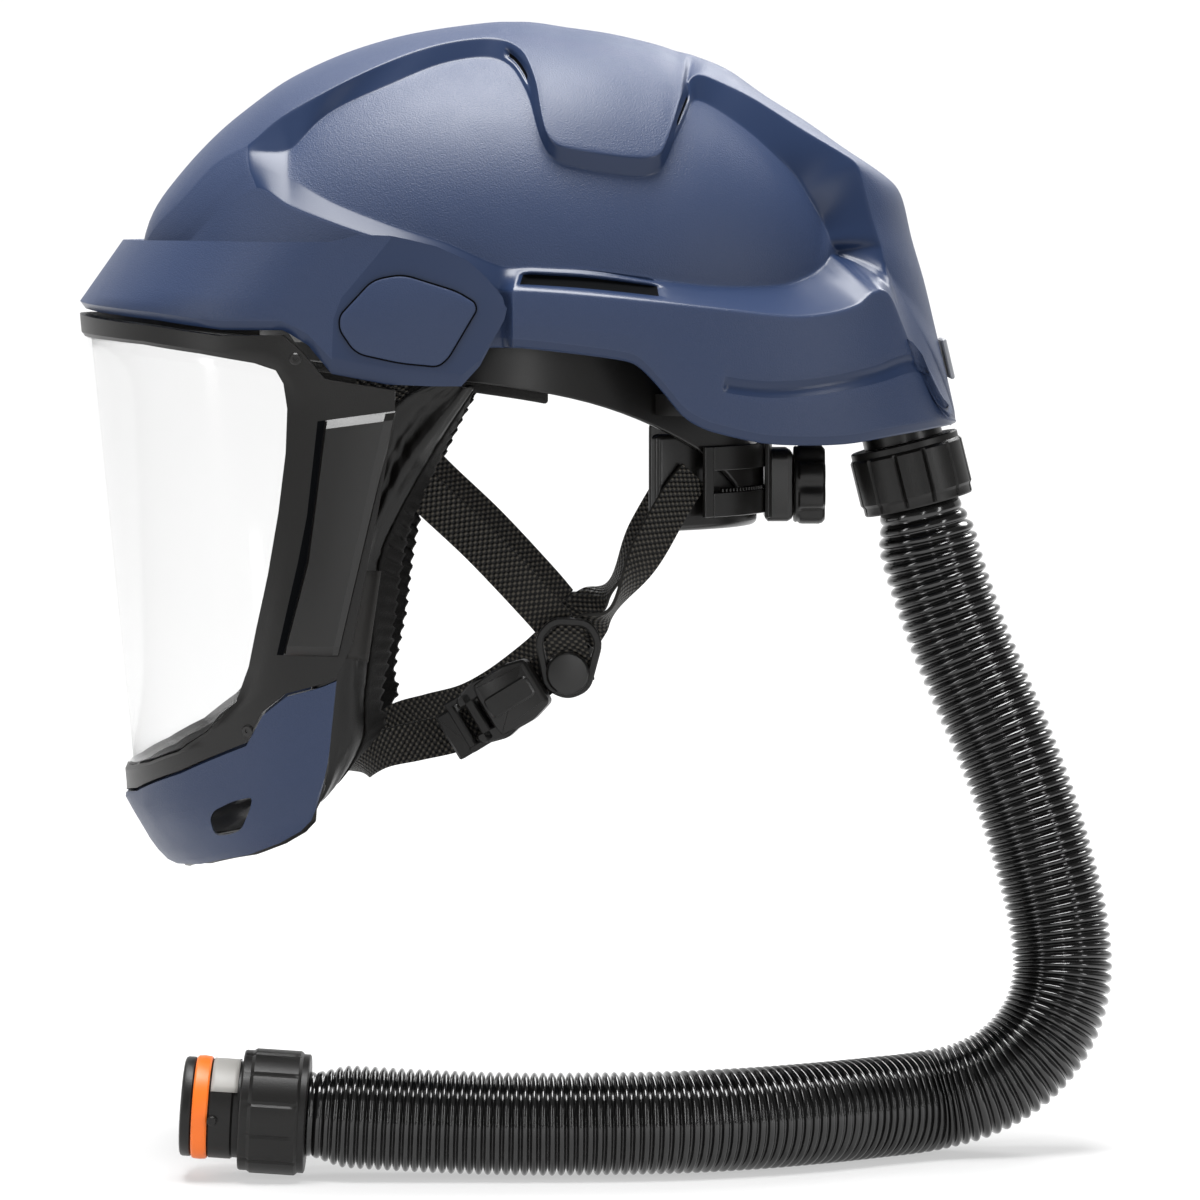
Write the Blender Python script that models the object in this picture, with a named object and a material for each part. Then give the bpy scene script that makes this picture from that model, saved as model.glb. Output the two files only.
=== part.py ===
# Powered respirator helmet: shell with air duct, hinged face visor, chin straps and breathing hose.
# Metres, +Z up, the face looks towards -X, the origin is the crown of the wearer's head.
import math

import bpy
import bmesh
from mathutils import Matrix, Vector

# Driving sizes. The tables further down hold shares of the first three.
HELMET_LENGTH = 0.340
HELMET_HEIGHT = 0.330
HALF_WIDTH = 0.106

GAP = 0.0003
SHELL_WALL = 0.0030
PANEL_STEP = 0.0035
BAND_CLEARANCE = 0.0015
BAND_SWELL = 0.0012
ARM_CLEARANCE = 0.0085
BROW_WALL = 0.0030
FRAME_WALL = 0.0040
LENS_WALL = 0.0018
LENS_INSET = 0.0012
LENS_GAP = 0.0006
CHIN_WALL = 0.0030
CHIN_GAP = 0.0012
BASE_GAP = 0.0018
BASE_WALL = 0.0020
FABRIC_WALL = 0.0015
ELASTIC_WALL = 0.0030
ELASTIC_GAP = 0.0009
SEAL_GAP = 0.0019
VISOR_DEPTH = HELMET_LENGTH / 4
COVER_WALL = 0.0020
PANEL_WALL = 0.0022
PANEL_GRID = 4
BOSS_RADIUS = 0.0090
RIVET_RADIUS = 0.0020
RIVET_HEIGHT = 0.0008
RIVET_LIFT = 0.0005

WEBBING_WIDTH = 0.0150
WEBBING_WALL = 0.0014
HEADBAND_HEIGHT = 0.0220
HEADBAND_WALL = 0.0024
HEADBAND_HALF_LENGTH = 0.0980
HEADBAND_HALF_WIDTH = 0.0800
SWEATBAND_HEIGHT = 0.0300
SWEATBAND_WALL = 0.0040
CROWN_STRAP_WIDTH = 0.0180
NAPE_PAD_HEIGHT = 0.0370
NAPE_PAD_WALL = 0.0080
RATCHET_HEIGHT = 0.0290
RATCHET_WIDTH = 0.0300
RATCHET_DEPTH = 0.0110
KNOB_RADIUS = 0.0160
KNOB_LENGTH = 0.0120
KNOB_LOBES = 8
KNOB_LOBE_DEPTH = 0.0016
HANGER_WIDTH = 0.0140
HANGER_HEIGHT = 0.0080

SLIDER_RADIUS = 0.0135
SLIDER_WALL = 0.0040
BUTTON_RADIUS = 0.0080
BUTTON_HEIGHT = 0.0030
BUCKLE_LENGTH = 0.0200
BUCKLE_WIDTH = 0.0240
BUCKLE_WALL = 0.0085
BUCKLE_GAP = 0.0012
BUCKLE_EDGE = 0.0012
PRONG_LENGTH = 0.0090
KEEPER_LENGTH = 0.0090
KEEPER_WIDTH = 0.0190
KEEPER_WALL = 0.0060

HOSE_RADIUS = 0.0194
HOSE_STEP = 0.0200
HOSE_FINE = 10
STUB_RADIUS = 0.0156
NUT_RADIUS = 0.0222
NUT_LENGTH = 0.0250
LOWER_NUT_RADIUS = 0.0235
NUT_EDGE = 0.0015
PLUG_RADIUS = 0.0188
PLUG_BORE = 0.0150
PLUG_LENGTH = 0.0220
PLUG_LIP = 0.0035
PLUG_FLOOR = 0.0033
RING_WIDTH = 0.0052
RING_WALL = 0.0016
RING_PROUD = 0.0006
DUCT_FLOOR_WALL = 0.0030
FLOOR_MARGIN = 0.0045
FLOOR_LENGTH = 0.0468
FLOOR_HALF_WIDTH = 0.0406
FLOOR_STEPS = 8
CAP_WALL = 0.0020
CAP_HEIGHT = 0.0160
CAP_WIDTH = 0.0240
CAP_STATION = 34.6

# Shell lines in the side view. A row is a station from the forehead to the nape.
CREST = (
    # station, x, z: the ridge line in the middle plane
    (0, -0.435, -0.190), (1, -0.421, -0.112), (2, -0.388, -0.061), (3, -0.347, -0.015),
    (4, -0.309, 0.018), (5, -0.262, 0.052), (6, -0.200, 0.082), (7, -0.132, 0.103),
    (9, -0.044, 0.117), (11, -0.003, 0.119), (13, 0.021, 0.118), (16, 0.056, 0.113),
    (18, 0.103, 0.106), (20, 0.153, 0.094), (22, 0.179, 0.085), (24, 0.200, 0.079),
    (26, 0.241, 0.061), (27, 0.279, 0.033), (28, 0.326, 0.003), (29, 0.371, -0.030),
    (30, 0.412, -0.058), (31, 0.435, -0.082), (32, 0.447, -0.133), (33, 0.462, -0.185),
    (34, 0.476, -0.245), (35, 0.488, -0.297), (36, 0.500, -0.348),
)
STEP = (
    # station, top x, top z, foot x, foot z: the edge of the raised crown, and the panel below it
    (0, -0.435, -0.190, -0.435, -0.190), (1, -0.415, -0.130, -0.415, -0.139),
    (2, -0.376, -0.091, -0.376, -0.100), (3, -0.338, -0.048, -0.338, -0.061),
    (4, -0.300, -0.027, -0.300, -0.036), (5, -0.262, 0.006, -0.253, -0.033),
    (6, -0.194, 0.045, -0.212, 0.009), (7, -0.129, 0.076, -0.141, 0.042),
    (8, -0.082, 0.091, -0.091, 0.064), (9, -0.041, 0.097, -0.047, 0.073),
    (10, -0.018, 0.095, -0.021, 0.070), (11, -0.003, 0.088, -0.006, 0.061),
    (12, 0.009, 0.076, 0.006, 0.042), (13, 0.021, 0.045, 0.015, 0.021),
    (14, 0.026, 0.015, 0.021, -0.003), (15, 0.032, -0.012, 0.029, -0.027),
    (16, 0.044, -0.027, 0.041, -0.045), (17, 0.065, -0.033, 0.062, -0.052),
    (18, 0.103, -0.039, 0.103, -0.061), (19, 0.138, -0.042, 0.135, -0.064),
    (20, 0.156, -0.039, 0.156, -0.058), (21, 0.165, -0.024, 0.165, -0.045),
    (22, 0.174, 0.003, 0.174, -0.024), (23, 0.182, 0.030, 0.185, 0.000),
    (24, 0.191, 0.048, 0.194, 0.021), (25, 0.203, 0.055, 0.203, 0.024),
    (26, 0.229, 0.045, 0.226, 0.012), (27, 0.265, 0.027, 0.259, -0.012),
    (28, 0.315, -0.006, 0.288, -0.039), (29, 0.359, -0.033, 0.312, -0.064),
    (30, 0.379, -0.048, 0.326, -0.088), (31, 0.388, -0.076, 0.338, -0.109),
    (32, 0.397, -0.112, 0.347, -0.127), (33, 0.406, -0.142, 0.353, -0.142),
    (34, 0.415, -0.173, 0.418, -0.182), (35, 0.465, -0.267, 0.465, -0.276),
    (36, 0.500, -0.348, 0.500, -0.348),
)
PANEL_FOOT = (
    # station, x, z: the panel's lower edge
    (0, -0.435, -0.190), (1, -0.415, -0.161), (2, -0.376, -0.130), (3, -0.338, -0.091),
    (4, -0.297, -0.055), (5, -0.253, -0.064), (6, -0.206, -0.091), (7, -0.138, -0.118),
    (8, -0.082, -0.136), (10, -0.018, -0.164), (12, 0.021, -0.166), (16, 0.085, -0.170),
    (20, 0.159, -0.181), (24, 0.221, -0.188), (28, 0.294, -0.187), (30, 0.326, -0.176),
    (32, 0.344, -0.163), (33, 0.350, -0.155), (34, 0.418, -0.191), (35, 0.465, -0.288),
    (36, 0.500, -0.348),
)
BAND_TOP = (
    # station, x, z: the upper edge of the band that stands proud round the sides and the nape
    (0, -0.435, -0.190), (1, -0.415, -0.173), (2, -0.376, -0.148), (3, -0.335, -0.106),
    (4, -0.288, -0.076), (5, -0.250, -0.097), (6, -0.188, -0.121), (7, -0.126, -0.142),
    (8, -0.082, -0.161), (10, -0.018, -0.191), (11, -0.003, -0.191), (15, 0.059, -0.195),
    (19, 0.144, -0.203), (23, 0.221, -0.212), (27, 0.303, -0.221), (29, 0.344, -0.218),
    (31, 0.376, -0.209), (33, 0.397, -0.194), (34, 0.421, -0.200), (35, 0.462, -0.300),
    (36, 0.500, -0.348),
)
RIM = (
    # station, x, z: the lower edge of the shell
    (0, -0.435, -0.190), (1, -0.412, -0.191), (2, -0.374, -0.194), (3, -0.332, -0.197),
    (5, -0.250, -0.206), (6, -0.188, -0.218), (7, -0.126, -0.242), (8, -0.082, -0.255),
    (10, -0.015, -0.256), (11, -0.003, -0.256), (12, 0.004, -0.256), (15, 0.050, -0.261),
    (18, 0.115, -0.270), (19, 0.132, -0.276), (20, 0.150, -0.294), (21, 0.165, -0.312),
    (22, 0.182, -0.333), (23, 0.200, -0.345), (24, 0.218, -0.352), (26, 0.268, -0.364),
    (27, 0.300, -0.367), (29, 0.362, -0.367), (31, 0.418, -0.359), (33, 0.462, -0.353),
    (35, 0.488, -0.350), (36, 0.500, -0.348),
)
RIDGE = (
    # station, half width of the air duct's flat crest, as a share of the half width
    (24, 0.377), (25, 0.349), (26, 0.330), (27, 0.330), (28, 0.340), (29, 0.358),
    (30, 0.377), (31, 0.396), (32, 0.415), (33, 0.434), (34, 0.443), (35, 0.358), (36, 0.0),
)
FIRST_RIDGE_STATION = 24
FACET_STATION = 4
WALL_STATION = 34
WALL_FLARE = 0.0042
ARM_ZONE_END = 10
CROWN_LIMIT = 0.94
LAST_STATION = 36
CROWN_STEPS = 3
PANEL_STEPS = 3

# The dome below the raised crown and the plan outlines of the rim, as shares.
DOME_CENTRE = (-0.0176, -0.1836)
DOME_LENGTH = 0.4206
DOME_HEIGHT = 0.2955
DOME_WIDTH = 0.8868
RIM_FRONT_LENGTH = 0.4294
RIM_REAR_LENGTH = 0.5176
BAND_REAR_LENGTH = 0.4963
RIM_POWER = 2.5

# Visor surface: the front line in the middle plane and the half width, both by height.
VISOR_FRONT = (
    # z, x
    (-0.874, -0.399), (-0.846, -0.422), (-0.791, -0.453), (-0.779, -0.451), (-0.228, -0.501),
    (-0.209, -0.502), (-0.135, -0.451),
)
VISOR_HALF = (
    # z, y
    (-0.874, 0.830), (-0.779, 0.925), (-0.561, 0.981), (-0.228, 1.0), (-0.209, 1.0),
    (-0.135, 0.981),
)
BROW = (
    # station, top wrap, top z, bottom wrap, bottom z; wrap is 0 in the middle, 1 where the side begins
    (0, 0.00, -0.136, 0.00, -0.215), (1, 0.20, -0.136, 0.20, -0.217), (2, 0.40, -0.136, 0.40, -0.221),
    (3, 0.60, -0.136, 0.59, -0.226), (4, 0.80, -0.137, 0.81, -0.236), (5, 1.00, -0.137, 0.99, -0.236),
    (6, 1.12, -0.129, 1.09, -0.253), (7, 1.26, -0.130, 1.18, -0.285), (8, 1.48, -0.142, 1.42, -0.297),
    (9, 1.66, -0.158, 1.61, -0.299), (10, 1.80, -0.178, 1.74, -0.299), (11, 1.92, -0.198, 1.83, -0.276),
    (12, 1.97, -0.211, 1.956, -0.224),
)
FRAME = (
    # station, inner wrap, inner z, outer wrap, outer z: from the middle of the top bar to that of the sill
    (0, 0.00, -0.248, 0.00, -0.2215), (1, 0.20, -0.249, 0.20, -0.2235), (2, 0.38, -0.251, 0.40, -0.2275),
    (3, 0.54, -0.254, 0.59, -0.2325), (4, 0.74, -0.263, 0.81, -0.2425), (5, 0.90, -0.273, 0.99, -0.2415),
    (6, 0.96, -0.281, 1.06, -0.2595), (7, 0.978, -0.296, 1.15, -0.2905),
    (8, 0.982, -0.324, 1.45, -0.3035), (9, 0.965, -0.374, 1.44, -0.330), (10, 0.927, -0.442, 1.34, -0.426),
    (11, 0.879, -0.512, 1.24, -0.515), (12, 0.829, -0.573, 1.155, -0.590), (13, 0.794, -0.617, 1.07, -0.628),
    (14, 0.743, -0.658, 0.90, -0.646), (15, 0.636, -0.694, 0.825, -0.668),
    (16, 0.511, -0.721, 0.765, -0.704), (17, 0.35, -0.739, 0.52, -0.742),
    (18, 0.18, -0.750, 0.26, -0.772), (19, 0.00, -0.753, 0.00, -0.786),
)
CHIN = (
    # station of the frame whose lower edge it follows, bottom wrap, bottom z
    (13, 0.978, -0.750), (13.5, 0.935, -0.794), (14, 0.885, -0.807), (15, 0.80, -0.822),
    (16, 0.67, -0.839), (17, 0.42, -0.859), (18, 0.20, -0.868), (19, 0.00, -0.872),
)
CHIN_VENT = (
    # x, z of the oval air outlet's corners
    (-0.341, -0.796), (-0.336, -0.785), (-0.313, -0.772), (-0.291, -0.766), (-0.294, -0.780),
    (-0.305, -0.806), (-0.318, -0.813), (-0.336, -0.816),
)
SIDE_PANEL = (
    # wrap, z of the corners: top front, top rear, foot front, foot rear
    (1.10, -0.338), (1.45, -0.326), (0.885, -0.602), (1.09, -0.604),
)
ARM_COVER = (
    # x, z of the cover plate's corners
    (-0.191, -0.220), (-0.155, -0.180), (-0.123, -0.174), (-0.064, -0.193), (-0.045, -0.205),
    (-0.043, -0.213), (-0.074, -0.267), (-0.085, -0.276), (-0.126, -0.272), (-0.174, -0.261),
    (-0.191, -0.235),
)
PIVOT = (-0.094, -0.212)
RIVETS = ((1.03, -0.268), (0.775, -0.690))
SEAL = (
    # station, attach wrap, attach z, fold x, fold z, fold y, edge x, edge z, edge y
    (0, 1.70, -0.310, -0.050, -0.312, -0.880, -0.056, -0.325, -0.820),
    (1, 1.55, -0.315, -0.090, -0.366, -0.860, -0.083, -0.372, -0.785),
    (2, 1.44, -0.345, -0.136, -0.440, -0.840, -0.119, -0.452, -0.755),
    (3, 1.30, -0.455, -0.163, -0.495, -0.840, -0.133, -0.511, -0.720),
    (4, 1.155, -0.585, -0.171, -0.588, -0.820, -0.143, -0.591, -0.690),
    (5, 1.06, -0.625, -0.176, -0.657, -0.800, -0.155, -0.659, -0.665),
    (6, 0.985, -0.700, -0.182, -0.712, -0.760, -0.153, -0.694, -0.630),
    (7, 0.935, -0.765, -0.205, -0.764, -0.715, -0.188, -0.736, -0.590),
    (8, 0.850, -0.790, -0.235, -0.792, -0.640, -0.232, -0.760, -0.480),
    (9, 0.580, -0.828, -0.275, -0.824, -0.460, -0.254, -0.785, -0.300),
    (10, 0.00, -0.850, -0.335, -0.848, 0.0, -0.272, -0.794, 0.0),
)
BASE_HEIGHT = 0.022
BASE_DROP = 0.006
FABRIC_SHARE = 0.4

# Straps of the wearer's left side: x, z, y as shares, and the way the webbing's width points.
FRONT_STRAP = (
    (-0.160, -0.250, -0.6580, 1.0, 0.0, -0.49), (-0.157, -0.300, -0.670, 1.0, 0.15, -0.3),
    (-0.154, -0.338, -0.684, 1.0, 0.4, -0.1), (-0.138, -0.376, -0.685, 1.0, 0.7, 0.0),
    (-0.109, -0.416, -0.680, 0.69, 0.72, 0.0), (-0.041, -0.483, -0.665, 0.69, 0.72, 0.0),
    (0.020, -0.550, -0.648, 0.69, 0.72, 0.0), (0.045, -0.580, -0.6455, 0.69, 0.72, 0.0),
)
REAR_STRAP = (
    (0.197, -0.405, -0.5130, 0.61, -0.60, 0.52), (0.176, -0.4345, -0.5650, 0.66, -0.62, 0.42),
    (0.145, -0.483, -0.630, 0.72, -0.62, 0.30), (0.108, -0.540, -0.660, 0.25, -0.30, 0.92),
    (0.086, -0.566, -0.634, 0.80, -0.60, 0.0), (0.068, -0.590, -0.6300, 0.80, -0.60, 0.0),
)
CHIN_STRAP = (
    (0.040, -0.622, -0.6455, 0.62, -0.78, 0.0), (0.012, -0.648, -0.635, 0.62, -0.78, 0.0),
    (-0.030, -0.680, -0.610, 0.55, -0.83, 0.0), (-0.068, -0.700, -0.585, 0.25, -0.97, 0.0),
    (-0.110, -0.711, -0.565, 0.15, -0.98, 0.05), (-0.150, -0.722, -0.520, 0.20, -0.95, 0.25),
    (-0.176, -0.742, -0.420, 0.45, -0.70, 0.55), (-0.188, -0.755, -0.230, 0.93, -0.15, 0.15),
    (-0.190, -0.758, 0.0, 1.0, 0.0, 0.0),
)
SLIDER = (0.056, -0.611, -0.640)
BUCKLE = (-0.004, -0.657, -0.627)
KEEPER = (-0.064, -0.700, -0.588)
STRAP_TWIST_STEPS = 3

# The headband's loop: turn in degrees from the forehead, then its middle height.
HEADBAND = (
    (0, -0.235), (40, -0.242), (80, -0.262), (110, -0.290), (140, -0.350), (160, -0.405), (180, -0.420),
)
HEADBAND_CENTRE_X = -0.009
HEADBAND_POINTS = 40
NAPE_PAD_STEPS = 6
NAPE_PAD_Z = -0.414
SWEATBAND_STEPS = 11
KNOB_Z = -0.424
HANGERS = ((38, 1.2), (128, 0.0))
CROWN_RISE = 0.0010
CROWN_SPACING = 0.0045
CROWN_ARCH = 0.8
CROWN_STRAP_TURNS = (52, 128)
CROWN_STRAP_STEPS = 16

# Where the straps are seated: the turn round the headband, how far a row follows its seat.
FRONT_SEAT_TURN = 58.92
REAR_SEAT_TURN = 136.36
STRAP_LIFT = 0.0008
FRONT_SEAT_INSET = -(WEBBING_WALL / 2 + STRAP_LIFT)
REAR_SEAT_INSET = HEADBAND_WALL + GAP - WEBBING_WALL / 2 - STRAP_LIFT
SEAT_FADE = (1.0, 1.0, 0.7, 0.3)

# The hose starts this far inside the rear, at this share of the height.
HOSE_REAR_INSET = 0.0145
HOSE_START_Z = -0.44848
# Its route, in metres: x, y, z. It falls from the nape and lies below.
HOSE_ROUTE = (
    (0.1555, 0.000, -0.1480), (0.1574, 0.000, -0.1558), (0.1616, 0.000, -0.1724),
    (0.1700, -0.001, -0.1970), (0.1795, -0.003, -0.2200), (0.1890, -0.006, -0.2420),
    (0.1975, -0.009, -0.2650), (0.2045, -0.011, -0.2880), (0.2098, -0.013, -0.3110),
    (0.2108, -0.016, -0.3320), (0.2050, -0.020, -0.3500), (0.1930, -0.024, -0.3640),
    (0.1770, -0.027, -0.3730), (0.1580, -0.030, -0.3775), (0.1360, -0.041, -0.3784),
    (0.1130, -0.055, -0.3784), (0.0880, -0.067, -0.3784), (0.0600, -0.0755, -0.3784),
    (0.0300, -0.0790, -0.3784), (0.0000, -0.0800, -0.3783), (-0.0300, -0.0800, -0.3774),
    (-0.0600, -0.0800, -0.37576), (-0.0790, -0.0800, -0.3745),
)
UPPER_TILT = math.radians(14.0)
LOWER_TILT = math.radians(3.8)


def sample(table, station):
    # Smooth values of the table's other columns at a station, by a cubic through its rows.
    last = len(table) - 1
    index = 0
    while index < last - 1 and table[index + 1][0] < station:
        index += 1
    low, high = table[index], table[index + 1]
    before = table[max(index - 1, 0)]
    after = table[min(index + 2, last)]
    span = high[0] - low[0]
    t = min(max((station - low[0]) / span, 0.0), 1.0)
    values = []
    for column in range(1, len(low)):
        rise = high[column] - low[column]
        start = rise if index == 0 else span * (high[column] - before[column]) / (high[0] - before[0])
        end = rise if index + 1 == last else span * (after[column] - low[column]) / (after[0] - low[0])
        a = 2 * low[column] - 2 * high[column] + start + end
        b = 3 * high[column] - 3 * low[column] - 2 * start - end
        values.append(((a * t + b) * t + start) * t + low[column])
    return values


def straight(table, place):
    # Values between two rows, joined by straight lines.
    for low, high in zip(table, table[1:]):
        if place <= high[0]:
            break
    t = min(max((place - low[0]) / (high[0] - low[0]), 0.0), 1.0)
    return [a + (b - a) * t for a, b in zip(low[1:], high[1:])]


def place(x, y, z):
    # Shares of the driving sizes become metres.
    return Vector((x * HELMET_LENGTH, y * HALF_WIDTH, z * HELMET_HEIGHT))


def dome_half_width(x, z, proud=0.0):
    # Half width of the dome that carries the side panels, `proud` metres further out.
    length = DOME_LENGTH * HELMET_LENGTH + proud
    height = DOME_HEIGHT * HELMET_HEIGHT + proud
    width = DOME_WIDTH * HALF_WIDTH + proud
    along = (x - DOME_CENTRE[0] * HELMET_LENGTH) / length
    up = max(0.0, (z - DOME_CENTRE[1] * HELMET_HEIGHT) / height)
    return width * math.sqrt(max(0.0, 1.0 - along * along - up * up))


def plan_half_width(x, half_width, rear_length):
    # Half width of the rim's rounded plan outline.
    offset = x - DOME_CENTRE[0] * HELMET_LENGTH
    length = (rear_length if offset > 0 else RIM_FRONT_LENGTH) * HELMET_LENGTH
    return half_width * max(0.0, 1.0 - abs(offset / length) ** RIM_POWER) ** (1.0 / RIM_POWER)


def shell_column(station):
    # One line over the left half of the shell, from the crest to the rim.
    top_x, top_z, foot_x, foot_z = sample(STEP, station)
    top, foot = place(top_x, 0, top_z), place(foot_x, 0, foot_z)
    lines = []
    for table in (CREST, PANEL_FOOT, BAND_TOP, RIM):
        x, z = sample(table, station)
        lines.append(place(x, 0, z))
    crest, low, band, rim = lines
    if station in (0, LAST_STATION):
        return [crest.copy() for _ in range(CROWN_STEPS + PANEL_STEPS + 5)]
    band_half = HALF_WIDTH - BAND_CLEARANCE
    arm_half = HALF_WIDTH - ARM_CLEARANCE - BROW_WALL + PANEL_STEP
    if station >= FIRST_RIDGE_STATION:
        top.y = -sample(RIDGE, station)[0] * HALF_WIDTH
    else:
        top.y = -dome_half_width(top.x, top.z, PANEL_STEP)
    on_panel = FACET_STATION < station < WALL_STATION
    proud = 0.0 if on_panel else PANEL_STEP
    if station >= WALL_STATION:
        foot.y = top.y - WALL_FLARE
        low.y = top.y - 2 * WALL_FLARE
    else:
        foot.y = -dome_half_width(foot.x, foot.z, proud)
        low.y = -dome_half_width(low.x, low.z, proud)
    if station > ARM_ZONE_END:
        band.y = -plan_half_width(band.x, band_half, BAND_REAR_LENGTH)
        rim.y = -plan_half_width(rim.x, band_half, RIM_REAR_LENGTH)
    else:
        band.y = -dome_half_width(band.x, band.z, PANEL_STEP)
        rim.y = -plan_half_width(rim.x, arm_half, RIM_REAR_LENGTH)
    if station >= 35:
        band.y = low.y - WALL_FLARE
    points = []
    reach = DOME_LENGTH * HELMET_LENGTH + PANEL_STEP
    along = min(CROWN_LIMIT, abs(crest.x - DOME_CENTRE[0] * HELMET_LENGTH) / reach)
    around = DOME_WIDTH * HALF_WIDTH * math.sqrt(1.0 - along * along)
    bend = math.asin(min(CROWN_LIMIT, -top.y / max(around, -top.y)))
    for step in range(CROWN_STEPS):
        t = step / CROWN_STEPS
        drop = (1.0 - math.cos(t * bend)) / (1.0 - math.cos(bend))
        point = crest.lerp(top, drop)
        point.y = top.y * math.sin(t * bend) / math.sin(bend)
        points.append(point)
    points.append(top)
    for step in range(PANEL_STEPS):
        t = step / PANEL_STEPS
        point = foot.lerp(low, t)
        if station < WALL_STATION:
            point.y = -dome_half_width(point.x, point.z, proud)
        points.append(point)
    middle = band.lerp(rim, 0.5)
    if station > ARM_ZONE_END:
        middle.y -= BAND_SWELL
    points += [low, band, middle, rim]
    return points


def visor_skin(wrap, z):
    # A point of the visor's outer surface. wrap 0 is the middle, 1 where the side begins.
    front = straight(VISOR_FRONT, z)[0] * HELMET_LENGTH
    half = straight(VISOR_HALF, z)[0] * HALF_WIDTH
    turn = min(wrap, 1.0) * math.pi / 2
    x = front + VISOR_DEPTH * (1.0 - math.cos(turn) + max(0.0, wrap - 1.0))
    return Vector((x, -half * math.sin(turn), z * HELMET_HEIGHT))


def visor_normal(wrap, z):
    across = visor_skin(wrap + 0.02, z) - visor_skin(wrap - 0.02, z)
    up = visor_skin(wrap, z + 0.006) - visor_skin(wrap, z - 0.006)
    return across.cross(up).normalized()


def visor_point(wrap, z, inset=0.0):
    # A point `inset` metres inside the visor's surface.
    return visor_skin(wrap, z) - visor_normal(wrap, z) * inset


def material(name, colour, roughness, metallic=0.0, alpha=1.0):
    made = bpy.data.materials.new(name)
    made.use_nodes = True
    shader = made.node_tree.nodes["Principled BSDF"]
    shader.inputs["Base Color"].default_value = (*colour, 1.0)
    shader.inputs["Roughness"].default_value = roughness
    shader.inputs["Metallic"].default_value = metallic
    shader.inputs["Alpha"].default_value = alpha
    return made


def add_object(name, mesh, made_of, smooth=False):
    item = bpy.data.objects.new(name, mesh)
    bpy.context.scene.collection.objects.link(item)
    mesh.materials.append(made_of)
    if smooth:
        mesh.shade_smooth()
        mesh.set_sharp_from_angle(angle=math.radians(30))
    return item


def grid_object(name, columns, made_of, smooth=True, closed=False):
    # Faces between neighbouring columns; equal points are merged into one.
    form = bmesh.new()
    rows = [[form.verts.new(point) for point in column] for column in columns]
    count = len(rows) if closed else len(rows) - 1
    for index in range(count):
        left, right = rows[index], rows[(index + 1) % len(rows)]
        for step in range(len(left) - 1):
            form.faces.new((left[step], left[step + 1], right[step + 1], right[step]))
    bmesh.ops.remove_doubles(form, verts=form.verts, dist=0.00001)
    mesh = bpy.data.meshes.new(name)
    form.to_mesh(mesh)
    form.free()
    return add_object(name, mesh, made_of, smooth)


def mirror_across(item):
    mirror = item.modifiers.new("Mirror", "MIRROR")
    mirror.use_axis = (False, True, False)
    mirror.use_clip = True
    mirror.merge_threshold = 0.0001


def thicken(item, wall, side=-1.0):
    solid = item.modifiers.new("Solidify", "SOLIDIFY")
    solid.thickness = wall
    solid.offset = side
    solid.use_even_offset = True


def prism(name, outline, y_near, y_far, made_of):
    # A plate between two planes across Y, from its outline of (x, z) in metres.
    form = bmesh.new()
    near = [form.verts.new((x, y_near, z)) for x, z in outline]
    far = [form.verts.new((x, y_far, z)) for x, z in outline]
    form.faces.new(near)
    form.faces.new(list(reversed(far)))
    for index in range(len(outline)):
        follow = (index + 1) % len(outline)
        form.faces.new((near[index], far[index], far[follow], near[follow]))
    bmesh.ops.recalc_face_normals(form, faces=form.faces)
    mesh = bpy.data.meshes.new(name)
    form.to_mesh(mesh)
    form.free()
    return add_object(name, mesh, made_of)


def turned(name, profile, made_of, sides=24, lobes=0, lobe_depth=0.0):
    # A round piece about +Z from (radius, height) pairs; a radius of 0 closes it to a point.
    form = bmesh.new()
    rings = []
    for radius, height in profile:
        if radius == 0.0:
            rings.append([form.verts.new((0.0, 0.0, height))])
            continue
        ring = []
        for step in range(sides):
            turn = 2 * math.pi * step / sides
            reach = radius - (lobe_depth * (0.5 + 0.5 * math.cos(lobes * turn)) if lobes else 0.0)
            ring.append(form.verts.new((reach * math.cos(turn), reach * math.sin(turn), height)))
        rings.append(ring)
    pairs = list(zip(rings, rings[1:]))
    if profile[0][0] and profile[-1][0]:
        pairs.append((rings[-1], rings[0]))
    for low, high in pairs:
        for step in range(sides):
            follow = (step + 1) % sides
            if len(low) == 1:
                form.faces.new((low[0], high[follow], high[step]))
            elif len(high) == 1:
                form.faces.new((low[step], low[follow], high[0]))
            else:
                form.faces.new((low[step], low[follow], high[follow], high[step]))
    bmesh.ops.recalc_face_normals(form, faces=form.faces)
    mesh = bpy.data.meshes.new(name)
    form.to_mesh(mesh)
    form.free()
    return add_object(name, mesh, made_of, True)


def seated(path, seat):
    # The first row is moved level to its seat, and the next rows follow it less and less.
    first = place(path[0][0], path[0][2], path[0][1])
    shift = seat - first
    rows = []
    for index, (x, z, y, wide_x, wide_z, wide_y) in enumerate(path):
        share = SEAT_FADE[index] if index < len(SEAT_FADE) else 0.0
        moved_x = x + share * shift.x / HELMET_LENGTH
        moved_y = y + share * shift.y / HALF_WIDTH
        rows.append((moved_x, z, moved_y, wide_x, wide_z, wide_y))
    return tuple(rows)


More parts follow.
